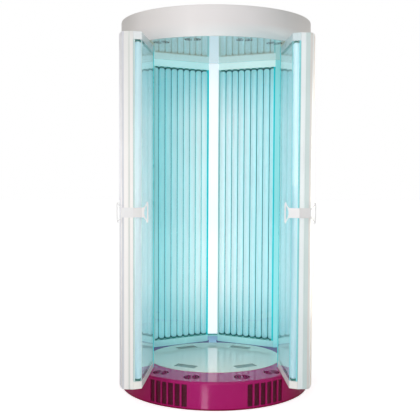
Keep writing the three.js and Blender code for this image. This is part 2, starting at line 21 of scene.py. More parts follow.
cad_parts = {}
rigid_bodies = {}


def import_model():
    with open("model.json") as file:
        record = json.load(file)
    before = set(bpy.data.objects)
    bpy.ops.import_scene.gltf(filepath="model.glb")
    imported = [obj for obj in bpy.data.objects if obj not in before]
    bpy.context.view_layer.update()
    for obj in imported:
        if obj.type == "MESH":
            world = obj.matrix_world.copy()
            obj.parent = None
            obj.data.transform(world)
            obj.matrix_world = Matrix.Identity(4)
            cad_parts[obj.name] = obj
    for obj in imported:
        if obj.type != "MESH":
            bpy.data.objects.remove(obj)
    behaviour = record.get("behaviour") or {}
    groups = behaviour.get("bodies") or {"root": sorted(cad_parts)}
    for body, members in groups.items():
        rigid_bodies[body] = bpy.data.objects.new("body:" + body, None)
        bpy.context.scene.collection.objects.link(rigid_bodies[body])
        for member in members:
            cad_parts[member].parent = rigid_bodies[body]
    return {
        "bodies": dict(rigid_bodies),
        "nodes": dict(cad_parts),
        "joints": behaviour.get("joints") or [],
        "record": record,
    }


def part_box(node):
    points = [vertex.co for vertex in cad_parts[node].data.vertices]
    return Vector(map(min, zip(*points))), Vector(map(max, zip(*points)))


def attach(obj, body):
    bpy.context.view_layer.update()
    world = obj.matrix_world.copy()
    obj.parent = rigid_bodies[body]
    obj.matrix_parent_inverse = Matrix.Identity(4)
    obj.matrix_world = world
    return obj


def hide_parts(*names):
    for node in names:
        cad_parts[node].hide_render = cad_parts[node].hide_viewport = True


LOG = logging.getLogger("tanning_booth")

Color = tuple[float, float, float]
Point = tuple[float, float]
Stops = tuple[tuple[float, Color], ...]
Face = bmesh.types.BMFace
Edge = bmesh.types.BMEdge

# Room left between pieces that lie on each other, and between pieces that are let into each other.
SEAT = 0.0003
CLEARANCE = 0.001
# How far a cutter reaches past what it cuts, and its depth in thicknesses of a sheet.
CUT_PAST = 0.001
CUT_THROUGH = 4.0
# Points nearer than this are taken as one.
SAME_SPOT = 1e-5
# Cosines that tell an upright wall, a level face and an edge along an axis.
STEEP = 0.1
LEVEL = 0.99
PARALLEL = 0.9
# Sizes that several sub-assemblies share.
SHELL_RADIUS = 0.528
JAMB_FRONT = -0.2147
PIN_HOLE = 0.0106
PIN_HOLE_FACETS = 32
ACRYLIC_SHEET = 0.004
LAMP_COUNT = 9
LAMP_GAP = 0.002
HOLDER_RADIUS = 0.014


def srgb(red: int, green: int, blue: int) -> Color:
    """Turns an 8-bit display colour into the linear colour that shaders use.

    Args:
        red: Red from 0 to 255.
        green: Green from 0 to 255.
        blue: Blue from 0 to 255.

    Returns:
        The linear colour, each channel from 0 to 1.
    """

    def channel(level: int) -> float:
        """Linear value of one channel."""
        share = level / 255.0
        return share / 12.92 if share <= 0.04045 else ((share + 0.055) / 1.055) ** 2.4

    return channel(red), channel(green), channel(blue)


def polar(radius: float, bearing: float) -> Vector:
    """Point in plan at a distance from the booth's axis, at degrees from the front towards +X."""
    turn = math.radians(bearing)
    return Vector((radius * math.sin(turn), -radius * math.cos(turn)))


def arc(centre: Vector, radius: float, start: float, end: float, steps: int) -> list[Vector]:
    """Points along a circle in plan, from one angle in radians to another, both ends included."""
    angles = [start + (end - start) * i / steps for i in range(steps + 1)]
    return [centre + Vector((radius * math.cos(a), radius * math.sin(a))) for a in angles]


def fillet(corner: Point, size: float, steps: int = 6) -> list[Point]:
    """Rounds an outer top corner of a turned profile, from the upright wall round to the top."""
    centre = Vector((corner[0] - size, corner[1] - size))
    return [(p.x, p.y) for p in arc(centre, size, 0.0, math.pi / 2, steps)]


def curve(start: Vector, bend: Vector, end: Vector, steps: int) -> list[Vector]:
    """Points along a curve between two points, pulled towards a third, without the first point."""
    shares = [i / steps for i in range(1, steps + 1)]
    return [start * (1 - t) ** 2 + bend * 2 * t * (1 - t) + end * t * t for t in shares]


def stand(place: Vector, height: float, turn: float) -> Matrix:
    """Matrix that turns a shape by degrees about the upright axis and puts it at a place."""
    return Matrix.Translation((*place, height)) @ Matrix.Rotation(math.radians(turn), 4, "Z")


def plan_spot(face: Face) -> Vector:
    """Middle of a face in plan."""
    return face.calc_center_median().to_2d()


def level_of(face: Face) -> float:
    """Height of a face's middle."""
    return face.calc_center_median().z


def upright(face: Face) -> bool:
    """True on an upright wall."""
    return abs(face.normal.z) < STEEP


def runs_along(edge: Edge, axis: int) -> bool:
    """True for an edge along an axis, which is 0 for X, 1 for Y and 2 for Z."""
    return abs((edge.verts[0].co - edge.verts[1].co).normalized()[axis]) > PARALLEL


class Side(Enum):
    """The two halves of the booth, valued by their sign along X."""

    LEFT = -1
    RIGHT = 1

    @property
    def label(self) -> str:
        """Lower-case name that piece names end with."""
        return self.name.lower()

    @property
    def mirror(self) -> Matrix:
        """Matrix that carries a right-hand shape to this side."""
        return Matrix.Diagonal((self.value, 1.0, 1.0, 1.0))


class Body(Enum):
    """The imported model's bodies that pieces ride on."""

    BOOTH = "booth"
    LEFT_DOOR = "left_door"
    RIGHT_DOOR = "right_door"

    @classmethod
    def door(cls, side: Side) -> Body:
        """Body of the door on one side."""
        return cls.LEFT_DOOR if side is Side.LEFT else cls.RIGHT_DOOR


class NodeGraph:
    """A material's nodes: one principled shader and short ways to drive it."""

    # Levels between which most of the noise lies, and the share of the full bump that is used.
    noise_core: ClassVar[Point] = (0.3, 0.7)
    bump_strength: ClassVar[float] = 0.6

    def __init__(self, material: bpy.types.Material) -> None:
        """Clears the material and gives it a fresh shader.

        Args:
            material: The material to fill.
        """
        material.use_nodes = True
        self.tree = material.node_tree
        self.tree.nodes.clear()
        output = self.node("ShaderNodeOutputMaterial")
        self.shader = self.node("ShaderNodeBsdfPrincipled")
        self.tree.links.new(self.shader.outputs["BSDF"], output.inputs["Surface"])
        self.place = self.node("ShaderNodeTexCoord").outputs["Object"]

    def node(self, kind: str) -> bpy.types.Node:
        """Adds a node of the given kind."""
        return self.tree.nodes.new(kind)

    def put(self, socket: str, value: Any) -> None:
        """Sets one of the shader's inputs, or links an output to it.

        Args:
            socket: Name of the input.
            value: A number, a colour, or another node's output.
        """
        target = self.shader.inputs[socket]
        if isinstance(value, bpy.types.NodeSocket):
            self.tree.links.new(value, target)
        elif isinstance(value, tuple):
            target.default_value = (*value, 1.0)
        else:
            target.default_value = value

    def noise(self, scale: float, detail: float = 2.0, stretch: Color = (1.0, 1.0, 1.0)) -> Any:
        """Soft noise on object coordinates.

        Args:
            scale: Repeats in a metre.
            detail: Octaves of finer noise.
            stretch: Factors on the coordinates, so that a low one draws the noise out.

        Returns:
            The noise output, from 0 to 1.
        """
        mapping = self.node("ShaderNodeMapping")
        mapping.inputs["Scale"].default_value = stretch
        self.tree.links.new(self.place, mapping.inputs["Vector"])
        noise = self.node("ShaderNodeTexNoise")
        noise.inputs["Scale"].default_value = scale
        noise.inputs["Detail"].default_value = detail
        self.tree.links.new(mapping.outputs["Vector"], noise.inputs["Vector"])
        return noise.outputs["Fac"]

    def ramp(self, share: Any, stops: Stops) -> Any:
        """Colours along a share.

        Args:
            share: Output from 0 to 1.
            stops: Places along the share and their colours.

        Returns:
            The colour output.
        """
        ramp = self.node("ShaderNodeValToRGB")
        elements = ramp.color_ramp.elements
        while len(elements) < len(stops):
            elements.new(1.0)
        for element, (place, color) in zip(elements, stops):
            element.position = place
            element.color = (*color, 1.0)
        self.tree.links.new(share, ramp.inputs["Fac"])
        return ramp.outputs["Color"]

    def spread(self, value: Any, source: Point, target: Point) -> Any:
        """Maps a value from one range to another, clamped.

        Args:
            value: Output to map.
            source: Range that the value comes in.
            target: Range to map it to.

        Returns:
            The mapped output.
        """
        spread = self.node("ShaderNodeMapRange")
        for name, level in zip(("From Min", "From Max", "To Min", "To Max"), (*source, *target)):
            spread.inputs[name].default_value = level
        self.tree.links.new(value, spread.inputs["Value"])
        return spread.outputs["Result"]

    def along(self, axis: str) -> Any:
        """Object coordinate along an axis.

        Args:
            axis: X, Y or Z.

        Returns:
            The coordinate's output.
        """
        split = self.node("ShaderNodeSeparateXYZ")
        self.tree.links.new(self.place, split.inputs["Vector"])
        return split.outputs[axis]

    def blend(self, share: Any, first: Any, second: Any) -> Any:
        """Mixes two colour outputs by a share.

        Args:
            share: Output from 0, all first, to 1, all second.
            first: Colour output.
            second: Colour output.

        Returns:
            The mixed colour output.
        """
        mix = self.node("ShaderNodeMix")
        mix.data_type = "RGBA"
        self.tree.links.new(share, mix.inputs["Factor"])
        colors = [socket for socket in mix.inputs if socket.type == "RGBA"]
        for source, target in zip((first, second), colors):
            self.tree.links.new(source, target)
        return next(socket for socket in mix.outputs if socket.type == "RGBA")

    def bump(self, height: Any, depth: float) -> None:
        """Roughens the surface.

        Args:
            height: Output from 0 to 1 that stands for height.
            depth: Height in metres at 1.
        """
        bump = self.node("ShaderNodeBump")
        bump.inputs["Strength"].default_value = self.bump_strength
        bump.inputs["Distance"].default_value = depth
        self.tree.links.new(height, bump.inputs["Height"])
        self.put("Normal", bump.outputs["Normal"])


@dataclass(frozen=True)
class Finish:
    """A surface finish: a colour with a faint drift, uneven gloss and a fine grain."""

    # Wander of the roughness: its share, its repeats for each one of the colour's, and its octaves.
    uneven: ClassVar[float] = 0.15
    uneven_scale: ClassVar[float] = 6.0
    uneven_detail: ClassVar[float] = 4.0
    coat_roughness: ClassVar[float] = 0.05

    # Material name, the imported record's slot that it belongs to, and the linear base colour.
    name: str
    slot: str
    color: Color
    roughness: float
    metallic: float = 0.0
    # Share by which the colour wanders, and repeats of the wander in a metre.
    drift: float = 0.03
    drift_scale: float = 4.0
    # Fine grain: its depth, its repeats in a metre, and factors that draw it out.
    grain: float = 0.00002
    grain_scale: float = 500.0
    grain_stretch: Color = (1.0, 1.0, 1.0)
    # Weight of a clear gloss coat, and the refractive index.
    coat: float = 0.0
    index: float = 1.5

    def material(self) -> bpy.types.Material:
        """Makes the material on first use.

        Returns:
            The finish as a material.
        """
        found = bpy.data.materials.get(self.name)
        if found is not None:
            return found
        made = bpy.data.materials.new(self.name)
        self.dress(NodeGraph(made))
        return made

    def tint(self, graph: NodeGraph) -> Any:
        """Base colour that wanders a little.

        Args:
            graph: The graph to add to.

        Returns:
            The colour output.
        """
        low = tuple(c * (1 - self.drift) for c in self.color)
        high = tuple(min(1.0, c * (1 + self.drift)) for c in self.color)
        return graph.ramp(graph.noise(self.drift_scale), tuple(zip(graph.noise_core, (low, high))))

    def dress(self, graph: NodeGraph) -> None:
        """Fills the node graph.

        Args:
            graph: The fresh graph of this finish's material.
        """
        graph.put("Base Color", self.tint(graph))
        uneven = graph.noise(self.drift_scale * self.uneven_scale, detail=self.uneven_detail)
        span = (self.roughness * (1 - self.uneven), min(1.0, self.roughness * (1 + self.uneven)))
        graph.put("Roughness", graph.spread(uneven, graph.noise_core, span))
        graph.put("Metallic", self.metallic)
        graph.put("Coat Weight", self.coat)
        graph.put("Coat Roughness", self.coat_roughness)
        graph.put("IOR", self.index)
        if self.grain > 0:
            graph.bump(graph.noise(self.grain_scale, stretch=self.grain_stretch), self.grain)


@dataclass(frozen=True)
class ShadedFinish(Finish):
    """A finish with light and shade painted into its colour: its tone passes through further colours
    along one axis.
    """

    # Most of the plain colour that is mixed in.
    plain: ClassVar[float] = 0.2

    # The axis, both ends of the change, and colours at shares of the way between them.
    axis: str = "Y"
    span: Point = (-1.0, 1.0)
    tones: Stops = ()
    # The axis, both ends of the change, and colours at shares of the way between them, which paint light
    # and shade.
    low_tones: Stops = ()
    low_span: Point = (1.0, 0.0)

    def tint(self, graph: NodeGraph) -> Any:
        """Wandering base colour, with light and shade painted in by the tones.

        Args:
            graph: The graph to add to.

        Returns:
            The colour output.
        """
        share = graph.spread(graph.along(self.axis), self.span, (0.0, 1.0))
        wander = graph.spread(graph.noise(self.drift_scale), graph.noise_core, (0.0, self.plain))
        tone = graph.ramp(share, self.tones)
        if self.low_tones:
            low = graph.spread(graph.along("Z"), self.low_span, (0.0, 1.0))
            tone = graph.blend(low, tone, graph.ramp(share, self.low_tones))
        return graph.blend(wander, tone, super().tint(graph))


@dataclass(frozen=True)
class LampGlow(Finish):
    """Lit lamp glass: palest near the middle of the booth and half way up."""

    # Name of the mesh's note on how far each point faces the cabin.
    front_note: ClassVar[str] = "front"

    # Glow at shares of the way from left to right, and the ends of that way along X.
    across: Stops = ((0.0, (1.0, 1.0, 1.0)), (1.0, (1.0, 1.0, 1.0)))
    span: Point = (-0.39, 0.39)
    # Glow at the lamps' upper and lower ends.
    ends: Color = (1.0, 1.0, 1.0)
    feet: Color = (1.0, 1.0, 1.0)
    # Glow of the sides that face the next lamp, half way up and at the ends.
    rim: Color = (0.1, 0.4, 0.4)
    rim_ends: Color = (0.1, 0.4, 0.4)
    strength: float = 1.0
    # Heights of both ends, and the length over which the glow fades towards them.
    rise: Point = (0.2, 2.0)
    fade: float = 0.35
    # Cosines from the cabin side between which the glow of the sides gives way.
    facing: Point = (0.05, 0.4)

    def dress(self, graph: NodeGraph) -> None:
        """Adds the glow to the plain finish.

        Args:
            graph: The fresh graph of this finish's material.
        """
        super().dress(graph)
        share = graph.spread(graph.along("X"), self.span, (0.0, 1.0))
        across = graph.ramp(share, self.across)
        height = graph.spread(graph.along("Z"), self.rise, (0.0, 1.0))
        reach = self.fade / (self.rise[1] - self.rise[0])
        black, white = (0.0, 0.0, 0.0), (1.0, 1.0, 1.0)
        stops = ((0.0, white), (reach, black), (1 - reach, black), (1.0, white))
        near_end = graph.ramp(height, stops)
        front = graph.node("ShaderNodeAttribute")
        front.attribute_name = self.front_note
        facing = graph.spread(front.outputs["Fac"], self.facing, (0.0, 1.0))
        ends = graph.ramp(height, ((0.0, self.feet), (0.5, self.ends)))
        rim = graph.ramp(near_end, ((0.0, self.rim), (1.0, self.rim_ends)))
        graph.put("Emission Color", graph.blend(facing, rim, graph.blend(near_end, across, ends)))
        graph.put("Emission Strength", self.strength)


@dataclass(frozen=True)
class SoftGlow(Finish):
    """A finish with light painted on as an even glow: the part is no lamp, and the glow stands in for
    lamp light that falls on it or runs into its edge.
    """

    glow: Color = (1.0, 1.0, 1.0)
    strength: float = 0.2

    def dress(self, graph: NodeGraph) -> None:
        """Adds the glow to the plain finish.

        Args:
            graph: The fresh graph of this finish's material.
        """
        super().dress(graph)
        graph.put("Emission Color", self.glow)
        graph.put("Emission Strength", self.strength)


@dataclass(frozen=True)
class ClearSheet(Finish):
    """Clear acrylic sheet."""

    def dress(self, graph: NodeGraph) -> None:
        """Makes the plain finish clear."""
        super().dress(graph)
        graph.put("Transmission Weight", 1.0)


# Canopy white with painted shade, darker towards both sides along X; its lower edge gets painted shade
# on the left and painted cyan lamp light on the right.
CANOPY_ENAMEL = ShadedFinish(
    "canopy_enamel",
    "white_enamel",
    srgb(233, 230, 231),
    0.42,
    axis="X",
    span=(-0.575, 0.575),
    tones=(
        (0.0, srgb(192, 187, 182)),
        (0.12, srgb(227, 222, 219)),
        (0.36, srgb(243, 238, 237)),
        (0.65, srgb(230, 227, 227)),
        (0.83, srgb(211, 210, 209)),
        (1.0, srgb(230, 226, 220)),
    ),
    low_tones=((0.1, srgb(205, 207, 207)), (0.36, srgb(246, 245, 244)), (0.7, srgb(222, 238, 239))),
    low_span=(2.12, 2.05),
)
SHELL_ENAMEL = Finish("shell_enamel", "white_enamel", srgb(231, 229, 233), 0.4)
# Lit and shaded copies of the door whites: the right door's skin and edge post carry painted warm and
# cool light, and its upper end block painted shade.
SHELL_WARM_LIT = Finish("shell_warm", "white_enamel", srgb(246, 239, 230), 0.4)
PROFILE_WHITE = Finish("profile_white", "white_profile", srgb(250, 247, 244), 0.35)
PROFILE_COOL_LIT = Finish("profile_cool", "white_profile", srgb(243, 250, 251), 0.35)
BLOCK_WARM = Finish("block_warm", "white_profile", srgb(253, 249, 244), 0.35)
RAIL_WHITE = Finish("rail_white", "white_profile", srgb(240, 244, 245), 0.3)
RAIL_COOL_SHADE = Finish("rail_cool", "white_profile", srgb(216, 232, 235), 0.3)
# Rear rails with the lamps' teal light painted on as a glow; the right upper rail gets more painted
# light than the left.
RAIL_LIT = SoftGlow(
    "rail_lit", "white_profile", srgb(190, 233, 233), 0.25, glow=srgb(140, 236, 240), strength=0.13
)
TOP_RAIL_LIT = SoftGlow(
    "top_rail_lit", "white_profile", srgb(214, 240, 241), 0.25, glow=srgb(182, 234, 236), strength=0.41
)
TOP_RAIL_MORE_LIT = SoftGlow(
    "top_rail_pale", "white_profile", srgb(226, 242, 240), 0.25, glow=srgb(208, 238, 236), strength=0.44
)
# Lining and corner strips of the side walls with the lamps' teal light painted on as a glow.
SIDE_LIT = SoftGlow(
    "side_lit", "white_enamel", srgb(178, 228, 230), 0.35, glow=srgb(130, 230, 232), strength=0.24
)
# Middle post's white with painted lamp light, an even pale glow.
POST_WHITE = SoftGlow(
    "post_white", "white_profile", srgb(246, 246, 250), 0.25, glow=srgb(246, 246, 255), strength=0.48
)
# Post's foot and the sill before it in painted shade: a violet blue with a faint glow.
POST_FOOT_SHADE = SoftGlow(
    "post_foot", "white_profile", srgb(160, 190, 216), 0.3, glow=srgb(158, 194, 224), strength=0.22
)
# Left edge post's white with painted shade, darker towards its upper end.
FACET_WHITE = ShadedFinish(
    "facet_white",
    "white_profile",
    srgb(242, 240, 237),
    0.35,
    axis="Z",
    span=(0.15, 2.03),
    tones=(
        (0.0, srgb(250, 247, 244)),
        (0.45, srgb(252, 249, 246)),
        (0.65, srgb(249, 246, 243)),
        (0.82, srgb(240, 239, 237)),
        (1.0, srgb(229, 229, 226)),
    ),
)
GROOVE_SHADE = Finish("groove_shade", "white_profile", srgb(222, 225, 221), 0.4)
# Chamfers of the edge posts in painted shade, one copy for each door.
EDGE_GREY_SHADE = Finish("edge_grey", "white_profile", srgb(214, 214, 219), 0.4)
EDGE_WARM_SHADE = Finish("edge_warm", "white_profile", srgb(219, 217, 213), 0.4)
BAND_SHADE = Finish("band_shade", "white_profile", srgb(208, 223, 222), 0.4)
# Lit and shaded copies of the handle white: one half of each handle gets painted light, the other
# painted shade.
HANDLE_BRIGHT_LIT = Finish("handle_pale", "handle_white", srgb(248, 246, 246), 0.38, grain=0.00004)
HANDLE_LIT = Finish("handle_light", "handle_white", srgb(236, 235, 235), 0.38, grain=0.00004)
HANDLE_SHADED = Finish("handle_grey", "handle_white", srgb(222, 221, 221), 0.38, grain=0.00004)
# Drum magenta with painted shade, darker towards both sides along X.
MAGENTA_GLOSS = ShadedFinish(
    "magenta_gloss",
    "magenta_shell",
    srgb(172, 20, 104),
    0.19,
    drift=0.04,
    grain=0.0,
    index=1.3,
    axis="X",
    span=(-0.575, 0.575),
    tones=(
        (0.0, srgb(142, 2, 62)),
        (0.2, srgb(164, 14, 92)),
        (0.4, srgb(182, 28, 114)),
        (0.75, srgb(178, 22, 104)),
        (1.0, srgb(130, 2, 46)),
    ),
)
# Lowest band of the skirt in a darker, rougher magenta: painted shade along the floor.
MAGENTA_HEM = Finish("magenta_hem", "magenta_shell", srgb(140, 0, 62), 0.5, grain=0.0, index=1.2)
# Deck magenta with painted shade and painted reflection, turning slate blue towards the back.
DECK_GLOSS = ShadedFinish(
    "deck_gloss",
    "magenta_shell",
    srgb(192, 40, 124),
    0.04,
    grain=0.0,
    index=1.31,
    span=(-0.15, 0.3),
    tones=((0.0, srgb(192, 40, 124)), (1.0, srgb(66, 72, 140))),
)
OUTLET_MESH = Finish("outlet_mesh", "magenta_shell", srgb(172, 38, 110), 0.5, drift=0.1, index=1.2)
# Walls of the outlets' slots in painted shade.
OUTLET_SHADE = Finish("outlet_dark", "dark_mesh", srgb(58, 16, 40), 0.6, drift=0.1)
SLOT_MESH = Finish("slot_mesh", "dark_mesh", srgb(112, 14, 54), 0.55, drift=0.1, grain=0.00005)
# Floor plate's colour with painted light: pale and warm towards the front, darker and teal towards the
# back under the lamps.
MINT_FLOOR = ShadedFinish(
    "mint_gloss",
    "mint_floor",
    srgb(236, 238, 233),
    0.08,
    coat=0.15,
    grain=0.0,
    span=(-0.38, 0.34),
    tones=((0.0, srgb(246, 241, 229)), (0.5, srgb(228, 228, 224)), (1.0, srgb(206, 222, 220))),
)
FLOOR_SCREEN = Finish("floor_screen", "steel", srgb(150, 166, 164), 0.6, drift=0.1)
# Mirror ceiling with painted light: a warm glow, though it is no lamp.
BRIGHT_CEILING = SoftGlow(
    "bright_ceiling",
    "mirror_ceiling",
    srgb(63, 160, 196),
    0.08,
    metallic=0.7,
    grain=0.0,
    glow=srgb(255, 236, 178),
    strength=0.2,
)
LAMP_GLASS = LampGlow(
    "rear_lamp_glow",
    "lamp_glass",
    srgb(214, 238, 240),
    0.22,
    grain=0.0,
    across=(
        (0.0, srgb(112, 180, 190)),
        (0.25, srgb(200, 214, 222)),
        (0.44, srgb(244, 238, 240)),
        (0.56, srgb(244, 236, 242)),
        (0.75, srgb(218, 222, 230)),
        (1.0, srgb(182, 214, 224)),
    ),
    ends=srgb(126, 182, 194),
    feet=srgb(94, 156, 170),
    rim_ends=srgb(16, 136, 140),
    strength=0.57,
)
DOOR_LAMP_GLASS = LampGlow(
    "door_lamp_glow",
    "lamp_glass",
    srgb(218, 226, 232),
    0.22,
    grain=0.0,
    across=((0.0, srgb(214, 202, 206)), (1.0, srgb(124, 184, 198))),
    ends=srgb(150, 184, 196),
    feet=srgb(150, 184, 196),
    rim=srgb(246, 250, 255),
    rim_ends=srgb(140, 180, 198),
    strength=0.52,
    facing=(-0.6, 0.6),
    fade=0.75,
)
LAMP_CAP = Finish("lamp_cap", "steel", srgb(168, 190, 192), 0.35, metallic=0.9)
# Dark teal for the lamp holders and the doors' end strips, the lamps' light painted on black plastic; on
# the post's seam it is painted shade.
HOLDER_DARK = Finish("holder_dark", "black_plastic", srgb(30, 146, 134), 0.5)
# Bright reflector given a dull dark teal: painted shade in the gaps between the lamps, tinted by their
# light.
REFLECTOR = Finish("reflector", "bright_reflector", srgb(44, 112, 120), 0.5, grain=0.0)
ACRYLIC = ClearSheet(
    "acrylic", "clear_acrylic", srgb(238, 252, 252), 0.02, drift=0.005, grain=0.0, index=1.49
)
# Cyan painted glow on the edges of the acrylic and on one side of the middle post.
ACRYLIC_EDGE = SoftGlow(
    "acrylic_edge", "clear_acrylic", srgb(40, 190, 196), 0.2, glow=srgb(30, 202, 210), strength=0.38
)
# Teal-grey painted shade with a painted glow, where the acrylic ends and on the middle post's other
# side; a warm and a cool copy for the doors' ridge edges and bends.
SHADED_EDGE_GLOW = SoftGlow(
    "frosted_edge", "clear_acrylic", srgb(170, 206, 204), 0.5, glow=srgb(142, 206, 206), strength=0.2
)
SHADED_GLOW_WARM = SoftGlow(
    "frosted_warm", "clear_acrylic", srgb(192, 211, 209), 0.5, glow=srgb(168, 207, 207), strength=0.2
)
SHADED_GLOW_COOL = SoftGlow(
    "frosted_cool", "clear_acrylic", srgb(140, 206, 210), 0.5, glow=srgb(96, 206, 212), strength=0.2
)
# Cabin side of the hinge column with the lamps' teal light painted on as a glow.
COLUMN_LIT = SoftGlow(
    "column_lit", "white_profile", srgb(76, 200, 206), 0.3, glow=srgb(36, 205, 212), strength=0.22
)
PLAIN_STEEL = Finish(
    "plain_steel", "steel", srgb(150, 153, 156), 0.45, metallic=0.9, grain_stretch=(1.0, 1.0, 0.05)
)
FAN_BLACK = Finish("fan_black", "black_plastic", srgb(40, 42, 45), 0.5, drift=0.1, grain=0.00006)


@dataclass(frozen=True)
class DoorFinishes:
    """Finishes in which the doors differ, since the light falls on each from its own side."""

    skin: Finish
    # Edge post with painted light and shade, its chamfer in painted shade, and the band or groove on its
    # facet in painted shade.
    post: tuple[Finish, ...]
    # Upper end block, in painted shade on the right door, the acrylic's ridge edge with painted shade
    # and glow, and the half of the handle with painted light.
    rail: Finish
    frosted: Finish
    handle: Finish


DOOR_FINISHES = {
    Side.LEFT: DoorFinishes(
        SHELL_ENAMEL, (FACET_WHITE, EDGE_GREY_SHADE, GROOVE_SHADE), RAIL_WHITE, SHADED_GLOW_WARM, HANDLE_LIT
    ),
    Side.RIGHT: DoorFinishes(
        SHELL_WARM_LIT, (PROFILE_COOL_LIT, EDGE_WARM_SHADE, BAND_SHADE), RAIL_COOL_SHADE, SHADED_GLOW_COOL, HANDLE_BRIGHT_LIT
    ),
}


class Shape:
    """A mesh under construction, shaped by bmesh operators."""

    # Distance within which points are merged, and angle from which edges are rounded.
    merge_distance: ClassVar[float] = 1e-6
    sharp: ClassVar[float] = math.radians(30.0)

    def __init__(self) -> None:
        """Starts empty."""
        self.bm = bmesh.new()

    @classmethod
    def lathe(cls, profile: Sequence[Point], segments: int) -> Shape:
        """Turns a profile a full turn about the upright axis.

        Args:
            profile: Radius and height of each point. A profile that starts and ends on the
                axis stays open there, and any other is closed.
            segments: Number of facets in the turn.

        Returns:
            The turned shape.
        """
        shape = cls()
        verts = [shape.bm.verts.new((radius, 0.0, height)) for radius, height in profile]
        pairs = list(zip(verts, verts[1:]))
        if profile[0][0] > 0 or profile[-1][0] > 0:
            pairs.append((verts[-1], verts[0]))
        for pair in pairs:
            shape.bm.edges.new(pair)
        return shape.spin(math.tau, segments, closed=True)

    @classmethod
    def disc(cls, radius: float, bottom: float, top: float, segments: int) -> Shape:
        """A round plate or rod about the upright axis, between two heights."""
        return cls.lathe([(0.0, bottom), (radius, bottom), (radius, top), (0.0, top)], segments)

    @classmethod
    def sector(cls, radii: Point, heights: Point, start: float, sweep: float, steps: int) -> Shape:
        """Sweeps an upright rectangle part of a turn about the upright axis.

        Args:
            radii: Inner and outer radius.
            heights: Lower and upper height.
            start: First angle in radians from +X.
            sweep: Angle swept, in radians.
            steps: Number of facets.

        Returns:
            The curved wall.
        """
        shape = cls()
        inner, outer = radii
        low, high = heights
        corners = [(inner, low), (outer, low), (outer, high), (inner, high)]
        ray = Vector((math.cos(start), math.sin(start)))
        verts = [shape.bm.verts.new((*(ray * radius), height)) for radius, height in corners]
        shape.bm.faces.new(verts)
        return shape.spin(sweep, steps)

    @classmethod
    def prism(cls, outline: Iterable[Vector], bottom: float, top: float) -> Shape:
        """Raises a flat outline.

        Args:
            outline: Corner points in plan.
            bottom: Lower height.
            top: Upper height.

        Returns:
            The upright prism.
        """
        shape = cls()
        shape.bm.faces.new([shape.bm.verts.new((p.x, p.y, bottom)) for p in outline])
        return shape.extrude(top - bottom)

    @classmethod
    def box(cls, size: Sequence[float], middle: Sequence[float] = (0.0, 0.0, 0.0)) -> Shape:
        """Makes a box.

        Args:
            size: Its lengths along X, Y and Z.
            middle: Its middle point.

        Returns:
            The box.
        """
        shape = cls()
        place = Matrix.Translation(middle) @ Matrix.Diagonal((*size, 1.0))
        bmesh.ops.create_cube(shape.bm, size=1.0, matrix=place)
        return shape

    @classmethod
    def slab(cls, low: Color, high: Color) -> Shape:
        """A box between two opposite corners."""
        size = [end - start for start, end in zip(low, high)]
        return cls.box(size, [(start + end) / 2 for start, end in zip(low, high)])

    def clean(self) -> Shape:
        """Merges doubles and turns every face outwards.

        Returns:
            The same shape.
        """
        bmesh.ops.remove_doubles(self.bm, verts=list(self.bm.verts), dist=self.merge_distance)
        bmesh.ops.recalc_face_normals(self.bm, faces=list(self.bm.faces))
        return self

    def spin(self, angle: float, steps: int, closed: bool = False) -> Shape:
        """Sweeps what is drawn so far about the upright axis.

        Args:
            angle: Angle swept, in radians.
            steps: Number of facets.
            closed: Whether the last facet joins the first.

        Returns:
            The same shape.
        """
        bmesh.ops.spin(
            self.bm,
            geom=[*self.bm.verts, *self.bm.edges, *self.bm.faces],
            cent=(0.0, 0.0, 0.0),
            axis=(0.0, 0.0, 1.0),
            angle=angle,
            steps=steps,
            use_merge=closed,
        )
        return self.clean()

    def extrude(self, height: float) -> Shape:
        """Draws flat faces up into a solid.

        Args:
            height: Height of the solid.

        Returns:
            The same shape.
        """
        grown = bmesh.ops.extrude_face_region(self.bm, geom=list(self.bm.faces))
        risen = [part for part in grown["geom"] if isinstance(part, bmesh.types.BMVert)]
        bmesh.ops.translate(self.bm, verts=risen, vec=(0.0, 0.0, height))
        return self.clean()

    def split(self, spot: Sequence[float], way: Sequence[float]) -> Shape:
        """Divides faces along a plane and keeps both halves.

        Args:
            spot: Point on the plane.
            way: Direction across it.

        Returns:
            The same shape.
        """
        parts = [*self.bm.verts, *self.bm.edges, *self.bm.faces]
        bmesh.ops.bisect_plane(self.bm, geom=parts, plane_co=spot, plane_no=way)
        return self

    def soften(
        self, width: float, segments: int = 3, pick: Callable[[Edge], bool] | None = None
    ) -> Shape:
        """Rounds edges.

        Args:
            width: Width of the rounding.
            segments: Facets across it.
            pick: Chooses the edges. Without it, every sharp edge is rounded.

        Returns:
            The same shape.
        """
        chosen = pick or (lambda edge: edge.calc_face_angle(0.0) > self.sharp)
        bmesh.ops.bevel(
            self.bm,
            geom=[edge for edge in self.bm.edges if chosen(edge)],
            offset=width,
            segments=segments,
            profile=0.5,
            affect="EDGES",
            clamp_overlap=True,
            material=-1,
        )
        return self

    def move(self, matrix: Matrix) -> Shape:
        """Places the shape, and keeps its faces outwards under a mirror.

        Args:
            matrix: Where it goes.

        Returns:
            The same shape.
        """
        bmesh.ops.transform(self.bm, matrix=matrix, verts=list(self.bm.verts))
        if matrix.determinant() < 0:
            bmesh.ops.reverse_faces(self.bm, faces=list(self.bm.faces))
        return self

    def paint(self, index: int, pick: Callable[[Face], bool] | None = None) -> Shape:
        """Gives faces one of the piece's finishes.

        Args:
            index: Place of the finish in the piece's list.
            pick: Chooses the faces. Without it, all of them are painted.

        Returns:
            The same shape.
        """
        self.bm.normal_update()
        for face in self.bm.faces:
            if pick is None or pick(face):
                face.material_index = index
        return self

